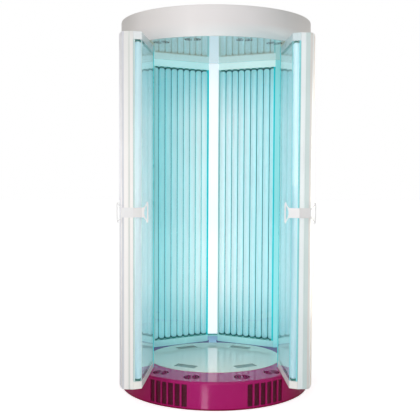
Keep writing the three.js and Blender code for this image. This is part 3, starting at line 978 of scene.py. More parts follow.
    def add(self, *others: Shape) -> Shape:
        """Takes other shapes into this one as separate shells.

        Args:
            *others: The shapes, which are left as they are.

        Returns:
            The same shape.
        """
        for other in others:
            mesh = bpy.data.meshes.new("joined")
            other.bm.to_mesh(mesh)
            self.bm.from_mesh(mesh)
            bpy.data.meshes.remove(mesh)
        return self

    def carve(self, tools: Sequence[Shape]) -> Shape:
        """Cuts other shapes out of this one.

        Args:
            tools: Shapes that don't overlap each other.

        Returns:
            The same shape.
        """
        target = self.scratch("carved")
        knife = Shape().add(*tools).scratch("knife")
        cut = target.modifiers.new("cut", "BOOLEAN")
        cut.operation = "DIFFERENCE"
        cut.solver = "EXACT"
        cut.object = knife
        graph = bpy.context.evaluated_depsgraph_get()
        mesh = bpy.data.meshes.new_from_object(target.evaluated_get(graph))
        self.bm.clear()
        self.bm.from_mesh(mesh)
        bpy.data.meshes.remove(mesh)
        for helper in (target, knife):
            bpy.data.meshes.remove(helper.data)
        edges = list(self.bm.edges)
        bmesh.ops.dissolve_degenerate(self.bm, dist=self.merge_distance, edges=edges)
        return self

    def scratch(self, name: str) -> bpy.types.Object:
        """Puts the shape into the scene.

        Args:
            name: Name of the object and of its mesh.

        Returns:
            The new object.
        """
        mesh = bpy.data.meshes.new(name)
        self.bm.to_mesh(mesh)
        made = bpy.data.objects.new(name, mesh)
        bpy.context.scene.collection.objects.link(made)
        return made


def pin_holes(pivots: Sequence[Vector], bottom: float, top: float) -> list[Shape]:
    """Cutting shapes of the hinge pins' holes, between two heights."""
    places = [stand(pivot, 0.0, 0.0) for pivot in pivots]
    return [Shape.disc(PIN_HOLE, bottom, top, PIN_HOLE_FACETS).move(place) for place in places]


class Workshop:
    """Turns shapes into pieces of the booth."""

    # Angle up to which edges are shaded smoothly, and the weight of large faces beside them.
    smooth_below: ClassVar[float] = math.radians(32.0)
    flat_weight: ClassVar[int] = 90

    def __init__(self, frame: dict[str, Any]) -> None:
        self.frame = frame

    def fit(
        self,
        shape: Shape,
        name: str,
        finishes: Sequence[Finish],
        stands_for: Sequence[str] = (),
        body: Body = Body.BOOTH,
    ) -> bpy.types.Object:
        """Makes a piece from a shape.

        Args:
            shape: The finished shape, in the frame's own place.
            name: Piece name.
            finishes: Finishes that its faces are painted with, the main one first.
            stands_for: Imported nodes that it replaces.
            body: Body that it rides on.

        Returns:
            The new object.
        """
        made = shape.scratch(name)
        self.settle_normals(made)
        for finish in finishes:
            made.data.materials.append(finish.material())
        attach(made, body.value)
        if stands_for:
            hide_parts(*stands_for)
        LOG.info("%s: %d faces on %s", name, len(made.data.polygons), body.value)
        return made

    def settle_normals(self, made: bpy.types.Object) -> None:
        """Shades a piece smoothly, with its large faces kept flat beside rounded edges.

        Args:
            made: The piece, whose mesh is replaced.
        """
        rough = made.data
        rough.shade_smooth()
        rough.set_sharp_from_angle(angle=self.smooth_below)
        weigh = made.modifiers.new("weigh", "WEIGHTED_NORMAL")
        weigh.keep_sharp = True
        weigh.weight = self.flat_weight
        graph = bpy.context.evaluated_depsgraph_get()
        smooth = bpy.data.meshes.new_from_object(made.evaluated_get(graph))
        made.modifiers.clear()
        made.data = smooth
        bpy.data.meshes.remove(rough)
        smooth.name = made.name

    def coat(self, node: str, finish: Finish) -> None:
        """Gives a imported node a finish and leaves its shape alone.

        Args:
            node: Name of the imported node.
            finish: Its new finish.
        """
        materials = self.frame["nodes"][node].data.materials
        materials.clear()
        materials.append(finish.material())
        LOG.info("%s: packed shape with finish %s", node, finish.name)

    def hinge(self, side: Side) -> tuple[Vector, float]:
        """Where a door turns and how far open it stands.

        Args:
            side: The door's side.

        Returns:
            The right-hand pivot in plan, and the opening in radians.
        """
        name = f"{side.label}_door_hinge"
        joint = next(j for j in self.frame["joints"] if j["name"] == name)
        pivot = Vector((abs(joint["pos_m"][0]), joint["pos_m"][1]))
        return pivot, math.radians(max(abs(limit) for limit in joint["range_deg"]))


@dataclass
class AirOutlet:
    """Round air outlet: half-ring slots on both sides of a bar."""

    # Its radius, and the circle on which the outlets sit.
    radius: float = 0.045
    circle: float = 0.486
    # Bearings of the right-hand ones and turns of their bars, in degrees.
    bearings: tuple[float, ...] = (17.0, 41.0)
    turns: tuple[float, ...] = (0.0, 16.0)
    # Half rings, and the bar between them.
    rings: int = 2
    slot: float = 0.0075
    land: float = 0.0075
    facets: int = 14
    bar: float = 0.009
    # Straight slot beside the bar, in shares of a slot and of the radius, and the bridge to the rings.
    straight: Point = (0.6, 1.5)
    bridge: float = 0.002
    # Height of the plugs in the deck, and the room left round them.
    insert: float = 0.006
    fit: float = 0.0002

    def places(self) -> list[Matrix]:
        """Finds where each outlet sits, and how its bar is turned.

        Returns:
            A matrix for each outlet.
        """
        return [
            stand(polar(self.circle, side.value * bearing), 0.0, side.value * angle)
            for bearing, angle in zip(self.bearings, self.turns)
            for side in Side
        ]

    def halves(self, shrink: float, bottom: float, top: float) -> list[Shape]:
        """Half-round plugs on both sides of every outlet's bar.

        Args:
            shrink: How much smaller than its opening each plug is.
            bottom: Lower height.
            top: Upper height.

        Returns:
            The plugs.
        """
        radius = self.radius + self.bridge - shrink
        reach = math.acos((self.bar / 2 + shrink) / radius)
        made: list[Shape] = []
        for place in self.places():
            for half in (0.0, math.pi):
                outline = arc(Vector((0.0, 0.0)), radius, half - reach, half + reach, 2 * self.facets)
                made.append(Shape.prism(outline, bottom, top).move(place))
        return made

    def inserts(self, top: float) -> Shape:
        """Slotted plugs that fill the half-round openings.

        Args:
            top: Height that they are flush with.

        Returns:
            The plugs, with the walls of their slots painted 1 in painted shade.
        """
        shape = Shape().add(*self.halves(self.fit, top - self.insert, top))
        shape.carve(self.cutters(top - self.insert - self.fit, top + self.fit))
        rim = self.radius + self.fit
        return shape.paint(1, lambda face: upright(face) and self.away(face) < rim)

    def cutters(self, bottom: float, top: float) -> list[Shape]:
        """Cutting shapes of every outlet between two heights."""
        return [shape.move(place) for place in self.places() for shape in self.one(bottom, top)]

    def away(self, face: Face) -> float:
        """Distance in plan from a face to the middle of the nearest outlet."""
        return min((plan_spot(face) - place.translation.to_2d()).length for place in self.places())

    def one(self, bottom: float, top: float) -> list[Shape]:
        """Cutting shapes of one outlet about the origin.

        Args:
            bottom: Lower height.
            top: Upper height.

        Returns:
            The shapes.
        """
        made: list[Shape] = []
        width = self.slot * self.straight[0]
        for half in (0.0, math.pi):
            for ring in range(self.rings):
                outer = self.radius - ring * (self.slot + self.land)
                inner = outer - self.slot
                reach = math.acos((self.bar / 2 + width + 2 * self.bridge) / inner)
                span = (half - reach, 2 * reach)
                made.append(Shape.sector((inner, outer), (bottom, top), *span, self.facets))
            away = math.cos(half) * (self.bar / 2 + self.bridge + width / 2)
            size = (width, self.radius * self.straight[1], top - bottom)
            made.append(Shape.box(size, (away, 0.0, (bottom + top) / 2)))
        return made


@dataclass
class Base:
    """Glossy base drum with its grilles and the floor plate."""

    # Outer radius, height of the deck, and height of the skirt's lower edge.
    rim: float
    deck: float
    lift: float
    # Skirt and deck.
    wall: float = 0.006
    hem: float = 0.008
    rim_fillet: float = 0.012
    outer_ring: float = 0.527
    deck_thickness: float = 0.011
    ledge: float = 0.016
    pan_thickness: float = 0.005
    segments: int = 168
    # Floor plate with the oval sheet on it.
    floor_radius: float = 0.374
    floor_stretch: float = 1.098
    floor_sheet: float = 0.0015
    floor_thickness: float = 0.006
    # Air slots in the floor plate, with bearings and lean in degrees.
    foot_slot: Point = (0.132, 0.058)
    foot_circle: float = 0.292
    foot_bearings: tuple[float, ...] = (37.0, 143.0, 217.0, 323.0)
    foot_turn: float = 25.0
    screen_drop: float = 0.0012
    # Upright intake slots, with bearings in degrees.
    slot_count: int = 6
    slot_width: float = 0.031
    slot_height: float = 0.125
    slot_sill: float = 0.016
    slot_corner: float = 0.002
    slot_first: float = 18.6
    slot_pitch: float = 4.1
    # Perforated sheets behind them: margin in degrees, and rounding as a share of a bridge.
    mesh_pitch: float = 0.0075
    mesh_bridge: float = 0.0026
    mesh_thickness: float = 0.0012
    mesh_margin: float = 3.0
    mesh_rounding: float = 0.45

    @classmethod
    def from_frame(cls) -> Base:
        """Reads the drum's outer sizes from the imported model."""
        low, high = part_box("base_drum")
        return cls(rim=high.x, deck=high.z, lift=low.z)

    def build(self, shop: Workshop, outlet: AirOutlet, pivots: Sequence[Vector]) -> None:
        """Makes the base's pieces.

        Args:
            shop: Where pieces are made.
            outlet: The air outlets in the deck.
            pivots: Places of the hinge pins in plan.
        """
        drum = self.drum(outlet, pivots)
        finishes = [MAGENTA_GLOSS, DECK_GLOSS, MAGENTA_HEM]
        shop.fit(drum, "drum_shell", finishes, ["base_drum"])
        shop.fit(outlet.inserts(self.deck), "deck_outlets", [OUTLET_MESH, OUTLET_SHADE])
        for side in Side:
            name = f"vent_grille_{side.label}"
            shop.fit(self.grille(side), f"{name}_mesh", [SLOT_MESH], [name])
        shop.fit(self.floor(), "floor_disc", [MINT_FLOOR, FLOOR_SCREEN], ["floor_plate"])
        shop.fit(self.screens(), "floor_slot_screens", [FLOOR_SCREEN])

    def drum(self, outlet: AirOutlet, pivots: Sequence[Vector]) -> Shape:
        """Skirt and deck in one turned shell, with its slots cut.

        Args:
            outlet: The air outlets in the deck.
            pivots: Places of the hinge pins in plan.

        Returns:
            The shell, with the deck painted 1, with painted shade and reflection, and the hem painted 2,
            in painted shade.
        """
        opening = self.floor_radius + CLEARANCE
        ledge_top = self.deck - self.floor_thickness - SEAT
        under = self.deck - self.deck_thickness
        inside = self.rim - self.wall
        profile = [
            (self.rim, self.lift),
            (self.rim, self.lift + self.hem),
            *fillet((self.rim, self.deck), self.rim_fillet),
            (self.outer_ring, self.deck),
            (opening, self.deck),
            (opening, ledge_top),
            (opening - self.ledge, ledge_top),
            (opening - self.ledge, under),
            (inside, under),
            (inside, self.lift),
        ]
        low, high = under - CUT_PAST, self.deck + CUT_PAST
        tools = [*self.slots(), *outlet.halves(0.0, low, high), *pin_holes(pivots, low, high)]
        shape = Shape.lathe(profile, self.segments).carve(tools)

        def in_cabin(face: Face) -> bool:
            """True on the deck, apart from the ring round the back of the walls."""
            behind = plan_spot(face).y > JAMB_FRONT and plan_spot(face).length > self.outer_ring
            return face.normal.z > LEVEL and level_of(face) > ledge_top + SEAT and not behind

        shape.paint(1, in_cabin)
        return shape.paint(2, lambda face: level_of(face) < self.lift + self.hem)

    def slots(self) -> list[Shape]:
        """Cutting shapes of the upright intake slots.

        Returns:
            The shapes.
        """
        made: list[Shape] = []
        height = self.slot_sill + self.slot_height / 2
        size = (self.slot_width, self.wall * CUT_THROUGH, self.slot_height)
        for number in range(self.slot_count):
            for side in Side:
                bearing = side.value * (self.slot_first + number * self.slot_pitch)
                place = polar(self.rim - self.wall / 2, bearing)
                shape = Shape.box(size).soften(self.slot_corner, 2, lambda edge: runs_along(edge, 1))
                made.append(shape.move(stand(place, height, bearing)))
        return made

    def grille(self, side: Side) -> Shape:
        """Perforated sheet that lines one group of slots.

        Args:
            side: Side of the group.

        Returns:
            The sheet.
        """
        first = self.slot_first - self.mesh_margin
        last = self.slot_first + (self.slot_count - 1) * self.slot_pitch + self.mesh_margin
        radius = self.rim - self.wall - CLEARANCE
        bottom = self.pan_thickness + SEAT
        top = self.deck - self.deck_thickness - SEAT
        rows = round((top - bottom) / self.mesh_pitch)
        columns = round(math.radians(last - first) * radius / self.mesh_pitch)
        shape = Shape()
        start = polar(radius, first)
        heights = [bottom + (top - bottom) * row / rows for row in range(rows + 1)]
        verts = [shape.bm.verts.new((*start, height)) for height in heights]
        for pair in zip(verts, verts[1:]):
            shape.bm.edges.new(pair)
        shape.spin(math.radians(last - first), columns)
        cells = list(shape.bm.faces)
        bmesh.ops.inset_individual(shape.bm, faces=cells, thickness=self.mesh_bridge / 2)
        for cell in cells:
            cell.material_index = 1
        corners = list({vert for cell in cells for vert in cell.verts})
        bmesh.ops.bevel(
            shape.bm,
            geom=corners,
            offset=self.mesh_bridge * self.mesh_rounding,
            segments=1,
            profile=0.5,
            affect="VERTICES",
            material=-1,
        )
        holes = [face for face in shape.bm.faces if face.material_index == 1]
        bmesh.ops.delete(shape.bm, geom=holes, context="FACES")
        bmesh.ops.solidify(shape.bm, geom=list(shape.bm.faces), thickness=self.mesh_thickness)
        return shape.clean().move(side.mirror)

    def floor(self) -> Shape:
        """Oval floor sheet with four air slots, on a round body that sits in the deck's opening.

        Returns:
            The plate, with the walls of its slots painted 1.
        """
        radius, edge = self.floor_radius, self.floor_sheet / 2
        low = self.deck + SEAT
        top = low + self.floor_sheet
        shape = Shape.disc(radius, self.deck - self.floor_thickness, low + edge, self.segments)
        profile = [(0.0, low), (radius, low), *fillet((radius, top), edge, 3), (0.0, top)]
        sheet = Shape.lathe(profile, self.segments)
        sheet.move(Matrix.Diagonal((self.floor_stretch, 1.0, 1.0, 1.0)))
        for part in (shape, sheet):
            part.carve(self.foot_slots(0.0, self.floor_thickness * CUT_THROUGH))
        within = radius - self.foot_slot[1] / 2
        shape.add(sheet)
        return shape.paint(1, lambda face: upright(face) and plan_spot(face).length < within)

    def foot_slots(self, grow: float, height: float) -> list[Shape]:
        """Boxes at the floor's slots.

        Args:
            grow: How much larger than the slot each box is.
            height: Height of the boxes, about the deck.

        Returns:
            The boxes.
        """
        made: list[Shape] = []
        size = (self.foot_slot[0] + grow, self.foot_slot[1] + grow, height)
        for bearing in self.foot_bearings:
            place = polar(self.foot_circle, bearing)
            lean = self.foot_turn if bearing % 180.0 < 90.0 else -self.foot_turn
            made.append(Shape.box(size).move(stand(place, self.deck, lean)))
        return made

    def screens(self) -> Shape:
        """Screens that fill the floor's slots, a little below its face.

        Returns:
            The screens.
        """
        thickness = self.floor_thickness - self.screen_drop
        plates = Shape().add(*self.foot_slots(-2 * SEAT, thickness))
        return plates.move(Matrix.Translation((0.0, 0.0, -self.screen_drop - thickness / 2)))


@dataclass
class Canopy:
    """White hoop round the top, with its lid and the bright ceiling, which carries a painted glow."""

    # Outer radius, height of the ceiling's lower face, and overall height.
    rim: float
    ceiling: float
    top: float
    # Hoop and its flanges.
    wall: float = 0.006
    upper_fillet: float = 0.005
    lower_edge: float = 0.001
    flange: float = 0.022
    sheet: float = 0.003
    segments: int = 192
    # Ceiling and lid.
    ceiling_thickness: float = 0.005
    lid_thickness: float = 0.004
    lid_recess: float = 0.004
    lid_edge: float = 0.001
    # Ring of exhaust slots, and the rounding of their ends as a share of their width.
    exhaust_count: int = 8
    exhaust_size: Point = (0.011, 0.062)
    exhaust_circle: float = 0.064
    exhaust_rounding: float = 0.49

    @classmethod
    def from_frame(cls) -> Canopy:
        """Reads the canopy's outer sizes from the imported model."""
        low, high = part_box("canopy_hoop")
        return cls(rim=high.x, ceiling=low.z, top=high.z)

    def build(self, shop: Workshop, outlet: AirOutlet, pivots: Sequence[Vector]) -> None:
        """Makes the canopy's pieces.

        Args:
            shop: Where pieces are made.
            outlet: The air outlets in the ceiling.
            pivots: Places of the hinge pins in plan.
        """
        shop.fit(self.hoop(), "canopy_band", [CANOPY_ENAMEL], ["canopy_hoop"])
        shop.fit(self.lid(), "canopy_cover", [CANOPY_ENAMEL], ["canopy_lid"])
        shape = self.ceiling_disc(outlet, pivots)
        shop.fit(shape, "ceiling_disc", [BRIGHT_CEILING, OUTLET_SHADE], ["ceiling_plate"])

    def hoop(self) -> Shape:
        """Band with a flange for the lid and one for the ceiling.

        Returns:
            The band.
        """
        inside = self.rim - self.wall
        flange = inside - self.flange
        lid_seat = self.top - self.lid_recess - self.lid_thickness - SEAT
        ceiling_seat = self.ceiling + self.ceiling_thickness + SEAT
        profile = [
            (self.rim - self.lower_edge, self.ceiling),
            (self.rim, self.ceiling + self.lower_edge),
            *fillet((self.rim, self.top), self.upper_fillet),
            (inside, self.top),
            (inside, lid_seat),
            (flange, lid_seat),
            (flange, lid_seat - self.sheet),
            (inside, lid_seat - self.sheet),
            (inside, ceiling_seat + self.sheet),
            (flange, ceiling_seat + self.sheet),
            (flange, ceiling_seat),
            (inside, ceiling_seat),
            (inside, self.ceiling),
        ]
        return Shape.lathe(profile, self.segments)

    def lid(self) -> Shape:
        """Recessed lid with a ring of exhaust slots.

        Returns:
            The lid.
        """
        top = self.top - self.lid_recess
        under = top - self.lid_thickness
        radius = self.rim - self.wall - CLEARANCE
        profile = [(0.0, under), (radius, under), *fillet((radius, top), self.lid_edge, 2), (0.0, top)]
        size = (*self.exhaust_size, self.lid_thickness * CUT_THROUGH)
        rounding = self.exhaust_size[0] * self.exhaust_rounding
        slots = []
        for number in range(self.exhaust_count):
            bearing = number * 360.0 / self.exhaust_count
            slot = Shape.box(size).soften(rounding, 4, lambda edge: runs_along(edge, 2))
            slots.append(slot.move(stand(polar(self.exhaust_circle, bearing), top, bearing)))
        return Shape.lathe(profile, self.segments).carve(slots)

    def ceiling_disc(self, outlet: AirOutlet, pivots: Sequence[Vector]) -> Shape:
        """Bright ceiling with its air outlets and hinge holes.

        Args:
            outlet: The air outlets.
            pivots: Places of the hinge pins in plan.

        Returns:
            The ceiling, with the walls of the outlets painted 1 in painted shade.
        """
        radius = self.rim - self.wall - CLEARANCE
        top = self.ceiling + self.ceiling_thickness
        low, high = self.ceiling - CUT_PAST, top + CUT_PAST
        shape = Shape.disc(radius, self.ceiling, top, self.segments)
        shape.carve([*outlet.cutters(low, high), *pin_holes(pivots, low, high)])
        reach = outlet.radius + outlet.bridge
        return shape.paint(1, lambda face: upright(face) and outlet.away(face) < reach)


@dataclass
class LampTube:
    """One lamp: a glass tube with rounded shoulders and a metal cap at each end."""

    # Length over the caps, and the glass.
    length: float = 1.779
    radius: float = 0.019
    segments: int = 28
    # Caps, and the shoulders between glass and cap.
    cap_radius: float = 0.0125
    cap: float = 0.004
    cap_edge: float = 0.001
    shoulder: float = 0.014
    shoulder_steps: int = 5

    def shape(self, bottom: float, facing: Vector) -> Shape:
        """Draws the lamp on the upright axis.

        Args:
            bottom: Height of its lower end.
            facing: Unit vector in plan from the lamp towards the cabin.

        Returns:
            The lamp, glass painted 0 and caps painted 1, with its facing side noted on the mesh.
        """
        top = bottom + self.length
        steps = self.shoulder_steps
        swell = self.radius - self.cap_radius
        low = [
            (0.0, bottom),
            (self.cap_radius - self.cap_edge, bottom),
            (self.cap_radius, bottom + self.cap_edge),
            (self.cap_radius, bottom + self.cap),
        ]
        for step in range(1, steps + 1):
            turn = math.pi / 2 * step / steps
            height = bottom + self.cap + self.shoulder * (1 - math.cos(turn))
            low.append((self.cap_radius + swell * math.sin(turn), height))
        high = [(radius, bottom + top - height) for radius, height in reversed(low)]
        made = Shape.lathe([*low, *high], self.segments)
        layer = made.bm.verts.layers.float.new(LampGlow.front_note)
        for vert in made.bm.verts:
            vert[layer] = vert.co.to_2d().dot(facing) / self.radius
        return made.paint(1, lambda face: not bottom + self.cap < level_of(face) < top - self.cap)


@dataclass
class RearWall:
    """Outer rear shell, white middle post and the two lamp banks in a shallow V."""

    # Heights that the walls stand on and reach, and the lamp that the banks hold.
    bottom: float
    top: float
    lamp: LampTube
    # Outer shell.
    shell_sheet: float = 0.003
    shell_facets: int = 128
    # Middle post, its foot and the sill before it.
    post_width: float = 0.064
    post_gap: float = 0.0006
    post_round: float = 0.003
    post_notch: float = 0.026
    post_seam: float = 0.007
    post_side: float = 0.8
    foot_band: float = 0.016
    foot_round: float = 0.001
    sill_half: float = 0.026
    sill_front: float = 0.3755
    sill_height: float = 0.002
    sill_round: float = 0.0005
    # Lamp banks, turned by an angle in degrees, with their rails and lamp holders.
    bank_front: float = 0.424
    bank_angle: float = 27.4
    bank_width: float = 0.4055
    rail_height: float = 0.044
    rail_depth: float = 0.044
    rail_round: float = 0.0025
    holder_height: float = 0.007
    holder_sink: float = 0.001
    holder_round: float = 0.0012
    holder_facets: int = 20
    # Edges of the acrylic with painted lamp light, and the sheets on the side walls that carry painted
    # lamp light.
    edge_strip: float = 0.010
    edge_round: float = 0.0006
    side_wall: float = 0.436
    strip_gap: float = 0.0015
    strip_sheet: float = 0.002
    lining_sheet: float = 0.001

    @classmethod
    def from_frame(cls, lamp: LampTube) -> RearWall:
        """Reads the wall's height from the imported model."""
        low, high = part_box("rear_shell")
        return cls(bottom=low.z, top=high.z, lamp=lamp)

    def build(self, shop: Workshop) -> None:
        """Makes the rear wall's pieces.

        Args:
            shop: Where pieces are made.
        """
        shop.fit(self.shell(), "rear_skin", [SHELL_ENAMEL], ["rear_shell"])
        whites = [POST_WHITE, POST_FOOT_SHADE, HOLDER_DARK, RAIL_LIT, ACRYLIC_EDGE, SHADED_EDGE_GLOW]
        shop.fit(self.post(), "middle_post", whites, ["centre_post"])
        # The sill carries the foot's painted shade.
        shop.fit(self.sill(), "post_sill", [POST_FOOT_SHADE])
        for side in Side:
            self.bank(shop, side)

    def sill(self) -> Shape:
        """Flat cover on the deck between the post's foot and the floor plate.

        Returns:
            The cover.
        """
        back = self.bank_front + self.post_notch - SEAT
        low = (-self.sill_half, self.sill_front, self.bottom)
        shape = Shape.slab(low, (self.sill_half, back, self.bottom + self.sill_height))
        return shape.soften(self.sill_round, 1)

    def shell(self) -> Shape:
        """Curved outer wall from one jamb round the back to the other.

        Returns:
            The wall.
        """
        start = math.asin(JAMB_FRONT / SHELL_RADIUS)
        sweep = math.pi - 2 * start
        radii = (SHELL_RADIUS - self.shell_sheet, SHELL_RADIUS)
        return Shape.sector(radii, (self.bottom, self.top), start, sweep, self.shell_facets)

    def place(self, side: Side) -> Matrix:
        """Matrix from a bank's own axes, x outwards from the post and y back, to the frame."""
        spot = Vector((self.post_width / 2, self.bank_front))
        return side.mirror @ stand(spot, 0.0, -self.bank_angle)

    def post(self) -> Shape:
        """White post between the banks, notched at the foot.

        Returns:
            The post, with its foot painted 1 and its seam 2 in painted shade, the foot's cap 3 with
            painted lamp light, and its sides 4 and 5 with a painted teal glow.
        """
        front = self.bank_front
        lean = math.radians(self.bank_angle)
        half = self.post_width / 2 - self.post_gap
        far = Vector((half, front)) + self.rail_depth * Vector((math.sin(lean), math.cos(lean)))

        def section(setback: float) -> list[Vector]:
            """Outline of the post with its front set back behind the banks'."""
            near = Vector((half + setback * math.tan(lean), front + setback))
            return [Vector((-near.x, near.y)), near, far, Vector((-far.x, far.y))]

        outline, notched = section(0.0), section(self.post_notch)
        lamp_floor = self.bottom - SEAT + self.rail_height
        seam = lamp_floor + self.post_seam
        upper = Shape.prism(outline, seam, self.top).soften(self.post_round)
        # Both sides get the lamps' teal light painted on.
        upper.paint(4, lambda face: face.normal.x < -self.post_side)
        upper.paint(5, lambda face: face.normal.x > self.post_side)
        band = lamp_floor - self.foot_band
        foot = Shape.prism(notched, self.bottom, band - SEAT).soften(self.foot_round, 1)
        cap = Shape.prism(notched, band, lamp_floor - SEAT).soften(self.foot_round, 1)
        # The seam is a dark teal band of painted shade between the post and its foot.
        line = Shape.prism(outline, lamp_floor, seam - SEAT)
        return upper.add(foot.paint(1), line.paint(2), cap.paint(3))

    def bank(self, shop: Workshop, side: Side) -> None:
        """Makes one bank: rails with lamp holders, acrylic sheet, reflector and lamps.

        Args:
            shop: Where pieces are made.
            side: Side of the bank.
        """
        label = side.label
        low = self.bottom - SEAT + self.rail_height
        high = self.top + SEAT - self.rail_height
        setback = ACRYLIC_SHEET + LAMP_GAP + self.lamp.radius
        pitch = self.bank_width / LAMP_COUNT
        spots = [Vector(((number + 0.5) * pitch, setback)) for number in range(LAMP_COUNT)]
        places = [stand(spot, 0.0, 0.0) for spot in spots]
        lower = self.rail(self.bottom, low)
        lower.add(*[self.holder(low, 1).move(place) for place in places])
        upper = self.rail(high, self.top)
        upper.add(*[self.holder(high, -1).move(place) for place in places])
        # The right upper rail carries more painted lamp light than the left.
        top_finish = TOP_RAIL_MORE_LIT if side is Side.RIGHT else TOP_RAIL_LIT
        rails = ((lower, "rear_bottom_rail", RAIL_LIT), (upper, "rear_top_rail", top_finish))
        for shape, name, finish in rails:
            node = f"{name}_{label}"
            shape.move(self.place(side))
            shop.fit(shape, f"{node}_white", [finish, HOLDER_DARK], [node])
        name = f"rear_acrylic_{label}"
        finishes = [ACRYLIC, ACRYLIC_EDGE, SHADED_EDGE_GLOW]
        shop.fit(self.sheet(side, low, high), f"{name}_sheet", finishes, [name])
        # The corner strip and the side lining carry the lamps' light painted on as a glow.
        shop.fit(self.corner_strip(side), f"corner_strip_{label}", [SIDE_LIT])
        shop.fit(self.lining(side), f"side_lining_{label}", [SIDE_LIT])
        for number, place in enumerate(places, start=1):
            tube = self.lamp.shape(low + self.holder_height + SEAT, Vector((0.0, -1.0)))
            tube.move(self.place(side) @ place)
            name = f"rear_tube_{label}_{number}"
            shop.fit(tube, name, [LAMP_GLASS, LAMP_CAP], [f"rear_lamp_{label}_{number}"])
        # The reflector gets the dark teal of painted shade.
        shop.coat(f"rear_reflector_{label}", REFLECTOR)

    def rail(self, bottom: float, top: float) -> Shape:
        """Straight rail with rounded edges, between two heights."""
        corner = (self.bank_width, self.rail_depth, top)
        return Shape.slab((0.0, 0.0, bottom), corner).soften(self.rail_round)

    def holder(self, height: float, way: int) -> Shape:
        """Dark teal lamp holder that stands on a rail, with the lamps' light painted on.

        Args:
            height: Height of the rail's face.
            way: 1 to stand up from the rail, -1 to hang from it.

        Returns:
            The holder, painted with the second finish.
        """
        low, high = sorted((height - way * self.holder_sink, height + way * self.holder_height))
        shape = Shape.disc(HOLDER_RADIUS, low, high, self.holder_facets)
        return shape.soften(self.holder_round, 2).paint(1)

    def sheet(self, side: Side, low: float, high: float) -> Shape:
        """Clear sheet in front of the lamps, with painted glow on its edges.

        Args:
            side: Side of the bank.
            low: Height of the lower rail's top.
            high: Height of the upper rail's underside.

        Returns:
            The sheet, with its edges painted 1 and 2.
        """
        inner, outer = self.edge_strip, self.bank_width - self.edge_strip
        shape = Shape.slab((0.0, 0.0, low + SEAT), (self.bank_width, ACRYLIC_SHEET, high - SEAT))
        for cut in (inner, outer):
            shape.split((cut, 0.0, 0.0), (1.0, 0.0, 0.0))
        shape.soften(self.edge_round, 2)
        # Each sheet's ends get a painted glow: the cyan one at the right bank's outer end and the left
        # bank's inner end, the teal-grey shade and glow at the others.
        bright, soft = (1, 2) if side is Side.RIGHT else (2, 1)
        shape.paint(bright, lambda face: plan_spot(face).x > outer)
        shape.paint(soft, lambda face: plan_spot(face).x < inner)
        return shape.move(self.place(side))

    def lining(self, side: Side) -> Shape:
        """Sheet on the cabin's side of a side wall, from the jamb to the corner strip, that carries
        painted lamp light.

        Args:
            side: Side of the wall.

        Returns:
            The sheet.
        """
        end = (self.place(Side.RIGHT) @ Vector((self.bank_width, 0.0, 0.0))).y - SEAT
        start = JAMB_FRONT + self.shell_sheet + SEAT
        across = self.side_wall - SEAT
        low = (across - self.lining_sheet, start, self.bottom)
        return Shape.slab(low, (across, end, self.top)).move(side.mirror)

    def corner_strip(self, side: Side) -> Shape:
        """Upright strip that closes the corner between a bank and the side wall.

        Args:
            side: Side of the bank.

        Returns:
            The strip.
        """
        end = (self.place(Side.RIGHT) @ Vector((self.bank_width, self.strip_sheet, 0.0))).to_2d()
        start = Vector((end.x + self.strip_gap, end.y))
        outline = [
            start,
            Vector((self.side_wall, end.y)),
            Vector((self.side_wall, end.y + self.strip_sheet)),
            Vector((start.x + self.strip_sheet, end.y + self.strip_sheet)),
        ]
        return Shape.prism(outline, self.bottom, self.top).move(side.mirror)


@dataclass(frozen=True)
class Grip:
    """One bow-shaped end of a door handle."""

    # Where the flare and the hole's side bend, and how long the tip's rounding is, as shares.
    flare: ClassVar[Point] = (0.75, 0.15)
    tip_share: ClassVar[float] = 1.3
    hole_flare: ClassVar[float] = 0.6
    tip_facets: ClassVar[int] = 5

    # Plain strap beyond the door's corner, and length of the grip beyond it.
    neck: float
    reach: float
    # Width of the bar that the hand holds, and start and height of the finger hole.
    bar: float
    hole_start: float
    hole_height: float


